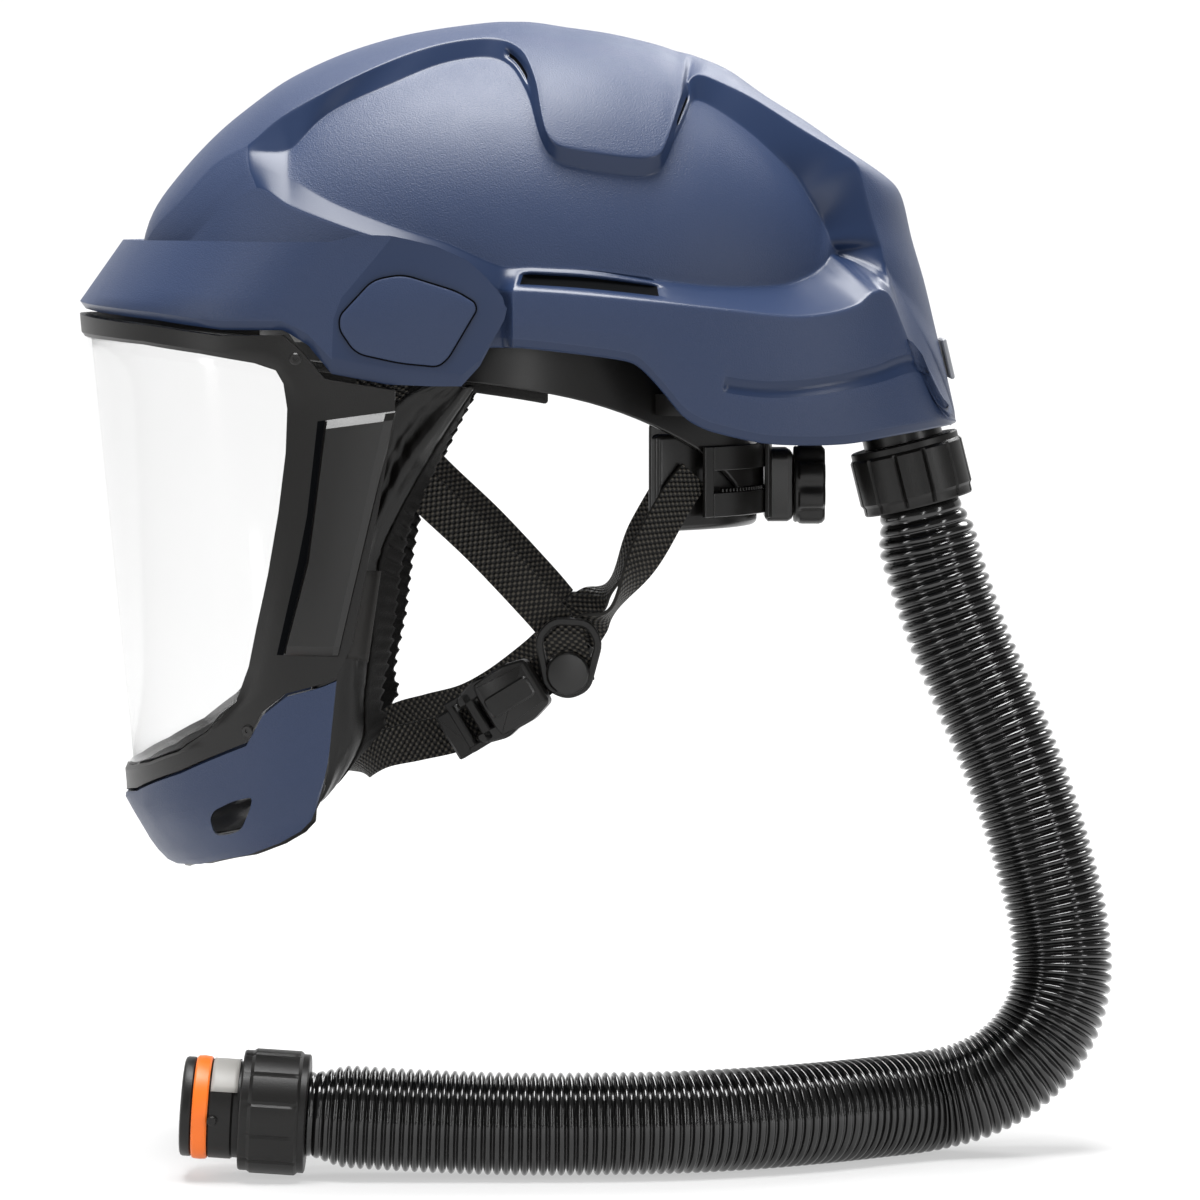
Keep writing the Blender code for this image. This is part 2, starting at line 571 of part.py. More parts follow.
def ribbon(name, path, made_of, mirrored=False, whole=False):
    # A flat webbing strip along rows of x, z, y and the direction of its width.
    rows = [(index, *row) for index, row in enumerate(path)]
    columns = []
    count = (len(path) - 1) * STRAP_TWIST_STEPS
    for index in range(count + 1):
        x, z, y, wide_x, wide_z, wide_y = sample(rows, index / STRAP_TWIST_STEPS)
        middle = place(x, y, z)
        wide = Vector((wide_x, wide_y, wide_z)).normalized() * WEBBING_WIDTH / 2
        columns.append([middle - wide, middle + wide])
    if whole:
        columns += [[Vector((p.x, -p.y, p.z)) for p in pair] for pair in reversed(columns[:-1])]
    if mirrored:
        columns = [[Vector((p.x, -p.y, p.z)) for p in pair] for pair in columns]
    item = grid_object(name, columns, made_of)
    thicken(item, WEBBING_WALL, 0.0)
    return item


def rounded_box(name, size, bevel, made_of):
    form = bmesh.new()
    bmesh.ops.create_cube(form, size=1.0)
    bmesh.ops.scale(form, vec=size, verts=form.verts)
    mesh = bpy.data.meshes.new(name)
    form.to_mesh(mesh)
    form.free()
    item = add_object(name, mesh, made_of)
    edge = item.modifiers.new("Bevel", "BEVEL")
    edge.width = bevel
    edge.segments = 1
    edge.limit_method = "ANGLE"
    return item


def make_shell(made_of):
    columns = [shell_column(station) for station in range(LAST_STATION + 1)]
    shell = grid_object("shell", columns, made_of)
    mirror_across(shell)
    thicken(shell, SHELL_WALL)
    return shell


def strip_columns(table, steps, rows, inset):
    # Columns over the visor's surface between a table's two edges.
    columns = []
    for index in range(table[-1][0] * steps + 1):
        wrap_a, z_a, wrap_b, z_b = straight(table, index / steps)
        column = []
        for row in range(rows + 1):
            t = row / rows
            column.append(visor_point(wrap_a + (wrap_b - wrap_a) * t, z_a + (z_b - z_a) * t, inset))
        columns.append(column)
    return columns


def make_visor(colours):
    brow = grid_object("brow_carrier", strip_columns(BROW, 2, 3, 0.0), colours["blue"])
    mirror_across(brow)
    thicken(brow, BROW_WALL)

    frame_rows = tuple((r[0], r[3], r[4], r[1], r[2]) for r in FRAME)
    frame = grid_object("visor_frame", strip_columns(frame_rows, 2, 1, 0.0), colours["black"])
    mirror_across(frame)
    thicken(frame, FRAME_WALL)

    lens = grid_object("lens", lens_columns(), colours["clear"])
    mirror_across(lens)
    thicken(lens, LENS_WALL)

    chin = grid_object("chin_cover", strip_columns(chin_rows(CHIN_GAP), 1, 3, 0.0), colours["blue"])
    mirror_across(chin)
    thicken(chin, CHIN_WALL)
    outline = [(x * HELMET_LENGTH, z * HELMET_HEIGHT) for x, z in CHIN_VENT]
    cutter = prism("chin_vent_cutter", outline, -HALF_WIDTH, HALF_WIDTH, colours["black"])
    cutter.hide_render = True
    cutter.display_type = "WIRE"
    cut = chin.modifiers.new("Vents", "BOOLEAN")
    cut.object = cutter
    cut.operation = "DIFFERENCE"

    inside = CHIN_WALL + BASE_GAP
    lip = tuple((r[0], r[3], r[4] + BASE_HEIGHT, r[3], r[4] - BASE_DROP) for r in chin_rows(0.0))
    base = grid_object("chin_base", strip_columns(lip, 1, 1, inside), colours["black"])
    mirror_across(base)
    thicken(base, BASE_WALL)

    for side, name in ((1, "left"), (-1, "right")):
        cover = prism(
            "arm_cover_" + name,
            [(x * HELMET_LENGTH, z * HELMET_HEIGHT) for x, z in ARM_COVER],
            -side * (HALF_WIDTH + GAP),
            -side * (HALF_WIDTH + GAP + COVER_WALL),
            colours["blue"],
        )
        edge = cover.modifiers.new("Bevel", "BEVEL")
        edge.width = 0.4 * COVER_WALL
        edge.segments = 1
        edge.limit_method = "ANGLE"
        make_side_panel("side_panel_" + name, side, colours["black"])
        for number, (wrap, z) in enumerate(RIVETS, 1):
            out = visor_normal(wrap, z)
            spot = visor_skin(wrap, z) + out * RIVET_LIFT
            spot.y *= side
            out.y *= side
            rivet = turned(
                "rivet_%s_%d" % (name, number),
                ((0.0, 0.0), (RIVET_RADIUS, 0.0), (0.7 * RIVET_RADIUS, RIVET_HEIGHT), (0.0, RIVET_HEIGHT)),
                colours["black"],
                12,
            )
            set_along(rivet, spot, out)


def chin_rows(top_gap):
    # The chin cover's edges, from the middle to its rear end; its top follows the frame's lower edge.
    rows = []
    last = CHIN[-1][0]
    for step in range(2 * (last - CHIN[0][0]) + 1):
        station = last - step / 2
        frame = straight(FRAME, station)
        wrap, z = straight(CHIN, station)
        rows.append((step, frame[2], frame[3] - top_gap / HELMET_HEIGHT, wrap, z))
    return tuple(rows)


def lens_columns():
    # The lens fills the frame's opening: a patch between its top, rear and bottom edges.
    inner = [(r[1], r[2]) for r in FRAME]
    corner_top, corner_foot = 7, 14
    top, rear, foot = inner[:corner_top + 1], inner[corner_top:corner_foot + 1], inner[corner_foot:][::-1]
    across, down = 8, 6

    def at(points, t):
        rows = [(i, *p) for i, p in enumerate(points)]
        return Vector(straight(rows, t * (len(points) - 1)))

    columns = []
    trim = LENS_GAP / HELMET_HEIGHT
    for i in range(across + 1):
        u = i / across
        column = []
        for j in range(down + 1):
            v = j / down
            front = at([inner[0], inner[-1]], v)
            edges = front * (1 - u) + at(rear, v) * u + at(top, u) * (1 - v) + at(foot, u) * v
            corners = Vector(inner[0]) * (1 - u) * (1 - v) + Vector(inner[corner_top]) * u * (1 - v)
            corners += Vector(inner[-1]) * (1 - u) * v + Vector(inner[corner_foot]) * u * v
            wrap, z = edges - corners
            wrap -= LENS_GAP / VISOR_DEPTH * u
            z += trim * (2 * v - 1)
            column.append(visor_point(wrap, z, LENS_INSET))
        columns.append(column)
    return columns


def make_side_panel(name, side, made_of):
    top_front, top_rear, foot_front, foot_rear = [Vector(corner) for corner in SIDE_PANEL]
    columns = []
    for i in range(PANEL_GRID + 1):
        head = top_front.lerp(top_rear, i / PANEL_GRID)
        foot = foot_front.lerp(foot_rear, i / PANEL_GRID)
        column = []
        for j in range(PANEL_GRID + 1):
            wrap, z = head.lerp(foot, j / PANEL_GRID)
            point = visor_point(wrap, z, -2 * GAP)
            point.y *= side
            column.append(point)
        columns.append(column if side > 0 else column[::-1])
    panel = grid_object(name, columns, made_of)
    thicken(panel, PANEL_WALL, 1.0)
    return panel


def seal_rows(station):
    wrap, z, fold_x, fold_z, fold_y, edge_x, edge_z, edge_y = sample(SEAL, station)
    attach = visor_point(wrap, z, FRAME_WALL + BASE_WALL + SEAL_GAP)
    fold = place(fold_x, fold_y, fold_z)
    edge = place(edge_x, edge_y, edge_z)
    return attach, fold, edge


def make_face_seal(fabric, elastic):
    columns = []
    bands = []
    for index in range(2 * SEAL[-1][0] + 1):
        attach, fold, edge = seal_rows(index / 2)
        for point in (attach, fold, edge):
            point.y = min(point.y, 0.0)
        turn = fold.lerp(edge, FABRIC_SHARE)
        columns.append([attach, attach.lerp(fold, 0.5), fold, turn])
        onward = (edge - turn).normalized()
        bands.append([turn + onward * ELASTIC_GAP, edge])
    seal = grid_object("face_seal", columns, fabric)
    mirror_across(seal)
    thicken(seal, FABRIC_WALL, 1.0)
    band = grid_object("seal_elastic", bands, elastic)
    mirror_across(band)
    thicken(band, ELASTIC_WALL, -0.5)


def distance_to(item, start, direction):
    # How far it is from a point to an object's surface.
    evaluated = item.evaluated_get(bpy.context.evaluated_depsgraph_get())
    hit, spot = evaluated.ray_cast(start, direction)[:2]
    return (spot - start).length if hit else math.inf


def make_pivots(shell, made_of):
    x, z = PIVOT[0] * HELMET_LENGTH, PIVOT[1] * HELMET_HEIGHT
    reaches = []
    for step in range(8):
        turn = math.pi * step / 4
        start = Vector((x + BOSS_RADIUS * math.cos(turn), -HALF_WIDTH, z + BOSS_RADIUS * math.sin(turn)))
        reaches.append(HALF_WIDTH - distance_to(shell, start, Vector((0.0, 1.0, 0.0))))
    inner = max(reaches) + GAP
    top = -visor_point(1.0, PIVOT[1] + BOSS_RADIUS / HELMET_HEIGHT).y
    foot = -visor_point(1.0, PIVOT[1] - BOSS_RADIUS / HELMET_HEIGHT).y
    outer = min(top, foot) - BROW_WALL - 2 * GAP
    for side, name in ((-1, "left"), (1, "right")):
        boss = turned(
            "pivot_" + name,
            ((0.0, inner), (BOSS_RADIUS, inner), (BOSS_RADIUS, outer), (0.0, outer)),
            made_of,
        )
        boss.location = (x, 0.0, z)
        boss.rotation_euler = (side * -math.pi / 2, 0.0, 0.0)


def headband_point(turn, inset, rise):
    angle = math.radians(turn)
    middle = sample(HEADBAND, min(turn, 360 - turn))[0] * HELMET_HEIGHT
    x = HEADBAND_CENTRE_X * HELMET_LENGTH - (HEADBAND_HALF_LENGTH - inset) * math.cos(angle)
    y = -(HEADBAND_HALF_WIDTH - inset) * math.sin(angle)
    return Vector((x, y, middle + rise))


def band_object(name, turns, height, inset, wall, made_of, closed=False, lift=0.0):
    columns = []
    for turn in turns:
        high = headband_point(turn, inset, lift + height / 2)
        low = headband_point(turn, inset, lift - height / 2)
        columns.append([high, low])
    item = grid_object(name, columns, made_of, True, closed)
    thicken(item, wall)
    return item


def make_headgear(shell, colours):
    step = 360 / HEADBAND_POINTS
    band_object("headband", [step * i for i in range(HEADBAND_POINTS)], HEADBAND_HEIGHT, 0.0,
                HEADBAND_WALL, colours["black"], True)
    inset = HEADBAND_WALL + GAP
    turns = [step * i % 360 for i in range(-SWEATBAND_STEPS, SWEATBAND_STEPS + 1)]
    band_object("sweatband", turns, SWEATBAND_HEIGHT, inset, SWEATBAND_WALL, colours["foam"])
    turns = [180 + step * i for i in range(-NAPE_PAD_STEPS, NAPE_PAD_STEPS + 1)]
    lift = NAPE_PAD_Z * HELMET_HEIGHT
    columns = []
    for turn in turns:
        high, low = headband_point(turn, inset, 0.0), headband_point(turn, inset, 0.0)
        high.z, low.z = lift + NAPE_PAD_HEIGHT / 2, lift - NAPE_PAD_HEIGHT / 2
        columns.append([high, low])
    pad = grid_object("nape_pad", columns, colours["foam"])
    thicken(pad, NAPE_PAD_WALL)

    back = HEADBAND_CENTRE_X * HELMET_LENGTH + HEADBAND_HALF_LENGTH
    knob_z = KNOB_Z * HELMET_HEIGHT
    housing = rounded_box("ratchet_housing", (RATCHET_DEPTH, RATCHET_WIDTH, RATCHET_HEIGHT), 0.002,
                          colours["black"])
    housing.location = (back + GAP + RATCHET_DEPTH / 2, 0.0, knob_z)
    knob = turned(
        "knob",
        ((0.0, 0.0), (0.9 * KNOB_RADIUS, 0.0), (KNOB_RADIUS, 0.15 * KNOB_LENGTH),
         (KNOB_RADIUS, 0.8 * KNOB_LENGTH), (0.85 * KNOB_RADIUS, KNOB_LENGTH), (0.0, KNOB_LENGTH)),
        colours["black"],
        32,
        KNOB_LOBES,
        KNOB_LOBE_DEPTH,
    )
    knob.location = (back + RATCHET_DEPTH + 2 * GAP, 0.0, knob_z)
    knob.rotation_euler = (0.0, math.pi / 2, 0.0)

    for number, (turn, slope) in enumerate(HANGERS, 1):
        for side, name in ((1, "left"), (-1, "right")):
            make_hanger("hanger_%s_%d" % (name, number), turn, slope, side, shell, colours["black"])
    make_crown_straps(colours["webbing"])


def make_hanger(name, turn, slope, side, shell, made_of):
    # A lug from the headband's outer face to the shell's inner face; slope is its rise over its reach.
    start = headband_point(turn, -GAP, 0.0)
    angle = math.radians(turn)
    out = Vector((-math.cos(angle), -math.sin(angle), 0.0))
    across = Vector((out.y, -out.x, 0.0))
    start += out * GAP
    rim = []
    for wide, high in ((-1, -1), (1, -1), (1, 1), (-1, 1)):
        point = start + across * (wide * HANGER_WIDTH / 2)
        point.z += high * HANGER_HEIGHT / 2
        rim.append(point)
    onward = Vector((out.x, out.y, slope)).normalized()
    reach = min(distance_to(shell, point, onward) for point in rim) - 2 * GAP
    form = bmesh.new()
    corners = []
    for away in (0.0, reach):
        for spot in rim:
            point = spot + onward * away
            point.y *= side
            corners.append(form.verts.new(point))
    for face in ((0, 1, 2, 3), (7, 6, 5, 4), (0, 4, 5, 1), (1, 5, 6, 2), (2, 6, 7, 3), (3, 7, 4, 0)):
        form.faces.new([corners[index] for index in face])
    bmesh.ops.recalc_face_normals(form, faces=form.faces)
    mesh = bpy.data.meshes.new(name)
    form.to_mesh(mesh)
    form.free()
    add_object(name, mesh, made_of)


def make_crown_straps(made_of):
    # Two straps cross over the wearer's crown and end at the headband.
    clear = HEADBAND_HEIGHT / 2 + WEBBING_WALL + GAP
    for number, turn in enumerate(CROWN_STRAP_TURNS):
        name = "crown_strap_%d" % (number + 1)
        start, end = headband_point(turn, 0.0, clear), headband_point(turn + 180, 0.0, clear)
        rise = CROWN_RISE + number * CROWN_SPACING - (start.z + end.z) / 2
        wide = Vector((start.y - end.y, end.x - start.x, 0.0)).normalized() * CROWN_STRAP_WIDTH / 2
        columns = []
        for i in range(CROWN_STRAP_STEPS + 1):
            swing = math.pi * i / CROWN_STRAP_STEPS
            point = start.lerp(end, 0.5 - 0.5 * math.cos(swing))
            point.z += rise * math.sin(swing) ** CROWN_ARCH
            columns.append([point - wide, point + wide])
        strap = grid_object(name, columns, made_of)
        thicken(strap, WEBBING_WALL, 0.0)


def basis_rotation(along, outward):
    # Local X runs along, local Z points outward.
    side = outward.cross(along).normalized()
    up = along.cross(side).normalized()
    rows = ((along.x, side.x, up.x), (along.y, side.y, up.y), (along.z, side.z, up.z))
    return Matrix(rows).to_euler()


def make_chin_straps(colours):
    front_seat = headband_point(FRONT_SEAT_TURN, FRONT_SEAT_INSET, 0.0)
    rear_seat = headband_point(REAR_SEAT_TURN, REAR_SEAT_INSET, 0.0)
    front_path, rear_path = seated(FRONT_STRAP, front_seat), seated(REAR_STRAP, rear_seat)
    for mirrored, name in ((False, "left"), (True, "right")):
        ribbon("front_strap_" + name, front_path, colours["webbing"], mirrored)
        ribbon("rear_strap_" + name, rear_path, colours["webbing"], mirrored)
        flip = -1 if mirrored else 1
        spot = place(SLIDER[0], SLIDER[2] * flip, SLIDER[1])
        outward = Vector((0.0, -flip, 0.0))
        slider = turned(
            "slider_" + name,
            ((0.0, 0.0), (SLIDER_RADIUS, 0.0), (SLIDER_RADIUS, 0.8 * SLIDER_WALL),
             (0.9 * SLIDER_RADIUS, SLIDER_WALL), (BUTTON_RADIUS, SLIDER_WALL),
             (BUTTON_RADIUS, SLIDER_WALL + 0.7 * BUTTON_HEIGHT),
             (0.8 * BUTTON_RADIUS, SLIDER_WALL + BUTTON_HEIGHT), (0.0, SLIDER_WALL + BUTTON_HEIGHT)),
            colours["black"],
            16,
        )
        slider.location = spot + outward * (WEBBING_WALL + GAP)
        slider.rotation_euler = outward.to_track_quat("Z", "Y").to_euler()
    ribbon("chin_strap", CHIN_STRAP, colours["webbing"], False, True)
    first, third = CHIN_STRAP[1], CHIN_STRAP[3]
    run = (place(first[0], first[2], first[1]) - place(third[0], third[2], third[1])).normalized()
    outward = Vector((run.y, -run.x, 0.0)).normalized()
    spot = place(BUCKLE[0], BUCKLE[2], BUCKLE[1])
    lift = outward * (WEBBING_WALL / 2 + BUCKLE_GAP + BUCKLE_WALL / 2)
    size = (BUCKLE_LENGTH, BUCKLE_WIDTH, BUCKLE_WALL)
    socket = rounded_box("buckle_socket", size, BUCKLE_EDGE, colours["black"])
    socket.location = spot + lift
    socket.rotation_euler = basis_rotation(run, outward)
    size = (PRONG_LENGTH, 0.86 * BUCKLE_WIDTH, 0.8 * BUCKLE_WALL)
    prongs = rounded_box("buckle_prongs", size, BUCKLE_EDGE, colours["black"])
    prongs.location = spot + lift - run * (BUCKLE_LENGTH / 2 + PRONG_LENGTH / 2 + GAP)
    prongs.rotation_euler = basis_rotation(run, outward)
    size = (KEEPER_LENGTH, KEEPER_WIDTH, KEEPER_WALL)
    keeper = rounded_box("strap_keeper", size, BUCKLE_EDGE, colours["black"])
    lift = outward * (WEBBING_WALL / 2 + BUCKLE_GAP + KEEPER_WALL / 2)
    keeper.location = place(KEEPER[0], KEEPER[2], KEEPER[1]) + lift
    keeper.rotation_euler = basis_rotation(run, outward)


def make_hose(colours):
    # Points every HOSE_STEP along the smooth route.
    start_x = HELMET_LENGTH / 2 - HOSE_REAR_INSET
    shift = Vector((start_x, 0.0, HOSE_START_Z * HELMET_HEIGHT)) - Vector(HOSE_ROUTE[0])
    rows = [(index, *(Vector(point) + shift)) for index, point in enumerate(HOSE_ROUTE)]
    fine = [Vector(sample(rows, i / HOSE_FINE)) for i in range(HOSE_FINE * (len(rows) - 1) + 1)]
    length = sum((b - a).length for a, b in zip(fine, fine[1:]))
    count = max(2, round(length / HOSE_STEP))
    picked, walked, target = [fine[0]], 0.0, length / count
    for a, b in zip(fine, fine[1:]):
        piece = (b - a).length
        while walked + piece >= target - 1e-9 and len(picked) < count:
            picked.append(a.lerp(b, (target - walked) / piece))
            target += length / count
        walked += piece
    picked.append(fine[-1])
    curve = bpy.data.curves.new("hose", "CURVE")
    curve.dimensions = "3D"
    curve.bevel_depth = HOSE_RADIUS
    curve.bevel_resolution = 4
    curve.use_fill_caps = True
    spline = curve.splines.new("POLY")
    spline.points.add(len(picked) - 1)
    for point, spot in zip(spline.points, picked):
        point.co = (*spot, 1.0)
    curve.materials.append(colours["hose"])
    hose = bpy.data.objects.new("hose", curve)
    bpy.context.scene.collection.objects.link(hose)

    start, end = fine[0], fine[-1]
    down = Vector((math.sin(UPPER_TILT), 0.0, -math.cos(UPPER_TILT)))
    make_upper_end(start, down, colours)
    out = Vector((-math.cos(LOWER_TILT), 0.0, math.sin(LOWER_TILT)))
    make_lower_end(end, out, colours)


def set_along(item, spot, direction):
    item.location = spot
    item.rotation_euler = direction.to_track_quat("Z", "Y").to_euler()


def make_upper_end(start, down, colours):
    nut = turned(
        "upper_nut",
        ((0.0, 0.0), (NUT_RADIUS - NUT_EDGE, 0.0), (NUT_RADIUS, NUT_EDGE),
         (NUT_RADIUS, NUT_LENGTH - NUT_EDGE), (NUT_RADIUS - NUT_EDGE, NUT_LENGTH), (0.0, NUT_LENGTH)),
        colours["black"],
        24,
    )
    set_along(nut, start - down * (NUT_LENGTH + GAP), down)
    # The stub rises from the nut through the duct's floor plate, which closes the shell behind the nape.
    foot = start - down * (NUT_LENGTH + 2 * GAP)
    floor_z = sample(RIM, LAST_STATION)[1] * HELMET_HEIGHT + 2 * SHELL_WALL
    stub_length = (floor_z + DUCT_FLOOR_WALL - foot.z) / -down.z
    stub = turned(
        "inlet_stub",
        ((0.0, 0.0), (STUB_RADIUS, 0.0), (STUB_RADIUS, stub_length), (0.0, stub_length)),
        colours["black"],
    )
    set_along(stub, foot, -down)
    centre_x = DOME_CENTRE[0] * HELMET_LENGTH
    rear = centre_x + RIM_REAR_LENGTH * HELMET_LENGTH - SHELL_WALL - FLOOR_MARGIN
    near = rear - FLOOR_LENGTH
    outline = []
    side = FLOOR_HALF_WIDTH
    for i in range(FLOOR_STEPS + 1):
        turn = math.pi * (i / FLOOR_STEPS - 0.5)
        outline.append((near + FLOOR_LENGTH * (0.35 + 0.65 * math.cos(turn)), side * math.sin(turn)))
    outline.append((near, side))
    outline.append((near, -side))
    floor = prism("duct_floor", outline, 0.0, DUCT_FLOOR_WALL, colours["black"])
    floor.rotation_euler = (math.pi / 2, 0.0, 0.0)
    floor.location = (0.0, 0.0, floor_z)
    hole = turned(
        "stub_cutter",
        ((0.0, 0.0), (STUB_RADIUS + GAP, 0.0), (STUB_RADIUS + GAP, 2 * stub_length), (0.0, 2 * stub_length)),
        colours["black"],
    )
    set_along(hole, foot, -down)
    hole.hide_render = True
    hole.display_type = "WIRE"
    cut = floor.modifiers.new("Stub", "BOOLEAN")
    cut.object = hole
    cut.operation = "DIFFERENCE"


def make_lower_end(end, out, colours):
    nut = turned(
        "lower_nut",
        ((0.0, 0.0), (LOWER_NUT_RADIUS - NUT_EDGE, 0.0), (LOWER_NUT_RADIUS, NUT_EDGE),
         (LOWER_NUT_RADIUS, NUT_LENGTH - NUT_EDGE), (LOWER_NUT_RADIUS - NUT_EDGE, NUT_LENGTH),
         (0.0, NUT_LENGTH)),
        colours["black"],
        24,
    )
    set_along(nut, end + out * GAP, out)
    groove = PLUG_RADIUS - RING_WALL
    ring_start = PLUG_LENGTH - PLUG_LIP - RING_WIDTH
    plug = turned(
        "plug",
        ((0.0, 0.0), (PLUG_RADIUS, 0.0), (PLUG_RADIUS, ring_start), (groove, ring_start),
         (groove, ring_start + RING_WIDTH), (PLUG_RADIUS, ring_start + RING_WIDTH),
         (PLUG_RADIUS, PLUG_LENGTH - 0.001), (PLUG_RADIUS - 0.001, PLUG_LENGTH), (PLUG_BORE, PLUG_LENGTH),
         (PLUG_BORE, PLUG_FLOOR), (0.0, PLUG_FLOOR)),
        colours["black"],
        24,
    )
    set_along(plug, end + out * (NUT_LENGTH + 2 * GAP), out)
    inner, outer = groove + GAP, PLUG_RADIUS + RING_PROUD
    low, high = ring_start + GAP, ring_start + RING_WIDTH - GAP
    profile = ((inner, low), (outer, low), (outer, high), (inner, high))
    ring = turned("seal_ring", profile, colours["orange"], 24)
    set_along(ring, end + out * (NUT_LENGTH + 2 * GAP), out)


def make_rear_cap(made_of):
    # A small cover on the shell's rear wall, under the duct's corner.
    x, z = sample(CREST, CAP_STATION)
    low_x, low_z = sample(CREST, CAP_STATION + 0.5)
    spot = place(x, 0.0, z)
    fall = (place(low_x, 0.0, low_z) - spot).normalized()
    outward = Vector((-fall.z, 0.0, fall.x)).normalized()
    cap = rounded_box("rear_cap", (CAP_HEIGHT, CAP_WIDTH, CAP_WALL), 0.0006, made_of)
    cap.location = spot + outward * (CAP_WALL / 2 + 2 * GAP)
    cap.rotation_euler = basis_rotation(fall, outward)


def main():
    for item in list(bpy.data.objects):
        bpy.data.objects.remove(item, do_unlink=True)
    colours = {
        "blue": material("blue_polyamide", (0.07, 0.10, 0.19), 0.45),
        "black": material("black_polyamide", (0.012, 0.012, 0.013), 0.45),
        "clear": material("clear_polycarbonate", (0.85, 0.88, 0.90), 0.05, 0.0, 0.2),
        "fabric": material("black_seal_fabric", (0.010, 0.010, 0.011), 0.7),
        "webbing": material("black_webbing", (0.012, 0.012, 0.012), 0.8),
        "foam": material("black_foam", (0.015, 0.015, 0.015), 0.9),
        "hose": material("black_rubber", (0.010, 0.010, 0.010), 0.25),
        "orange": material("orange_rubber", (0.90, 0.25, 0.03), 0.45),
    }
    shell = make_shell(colours["blue"])
    make_rear_cap(colours["black"])
    make_visor(colours)
    make_face_seal(colours["fabric"], colours["webbing"])
    make_pivots(shell, colours["black"])
    make_headgear(shell, colours)
    make_chin_straps(colours)
    make_hose(colours)


main()
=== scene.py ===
import math

import bmesh
import bpy
from mathutils import Matrix, Vector, noise


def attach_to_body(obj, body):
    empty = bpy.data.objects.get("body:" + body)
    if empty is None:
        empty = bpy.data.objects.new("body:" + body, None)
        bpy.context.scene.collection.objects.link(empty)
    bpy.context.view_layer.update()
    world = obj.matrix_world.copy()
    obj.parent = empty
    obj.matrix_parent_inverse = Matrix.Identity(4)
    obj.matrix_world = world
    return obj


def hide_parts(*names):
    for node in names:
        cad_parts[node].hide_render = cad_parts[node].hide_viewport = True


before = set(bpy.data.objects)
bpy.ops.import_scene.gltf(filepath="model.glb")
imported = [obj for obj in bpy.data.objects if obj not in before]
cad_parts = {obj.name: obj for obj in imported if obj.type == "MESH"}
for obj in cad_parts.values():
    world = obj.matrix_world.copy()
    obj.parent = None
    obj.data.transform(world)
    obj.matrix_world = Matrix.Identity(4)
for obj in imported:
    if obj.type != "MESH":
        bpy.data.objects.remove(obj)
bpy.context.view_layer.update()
scene = bpy.context.scene

helmetLength, helmetHeight, halfWidth = 0.340, 0.330, 0.106  # the shares below are of these

cameraSettings = {"target": (0.0312, 0.0, -0.18525), "distance": 2.2, "elevation": 4.0, "lens": 169.2,
                  "sensor": 36.0, "clip": (0.05, 50.0)}


def makeCamera(s):
    data = bpy.data.cameras.new("camera")
    data.lens, data.sensor_width = s["lens"], s["sensor"]
    data.clip_start, data.clip_end = s["clip"]
    camera = bpy.data.objects.new("camera", data)
    scene.collection.objects.link(camera)
    lift = math.radians(s["elevation"])
    back = Vector((0.0, -math.cos(lift), math.sin(lift)))
    camera.location = Vector(s["target"]) + back * s["distance"]
    camera.rotation_euler = (-back).to_track_quat("-Z", "Y").to_euler()
    scene.camera = camera


makeCamera(cameraSettings)


def linear(hexText):
    # An sRGB hex colour as linear values.
    channels = [int(hexText[i:i + 2], 16) / 255 for i in (1, 3, 5)]
    return (*[c / 12.92 if c <= 0.04045 else ((c + 0.055) / 1.055) ** 2.4 for c in channels], 1.0)


def addNode(tree, kind, settings=None, links=None):
    # settings holds input values and attributes; links holds the socket that feeds each input.
    made = tree.nodes.new(kind)
    for key, value in (settings or {}).items():
        if isinstance(key, int) or key in made.inputs:
            made.inputs[key].default_value = value
        else:
            setattr(made, key, value)
    for key, socket in (links or {}).items():
        tree.links.new(socket, made.inputs[key])
    return made


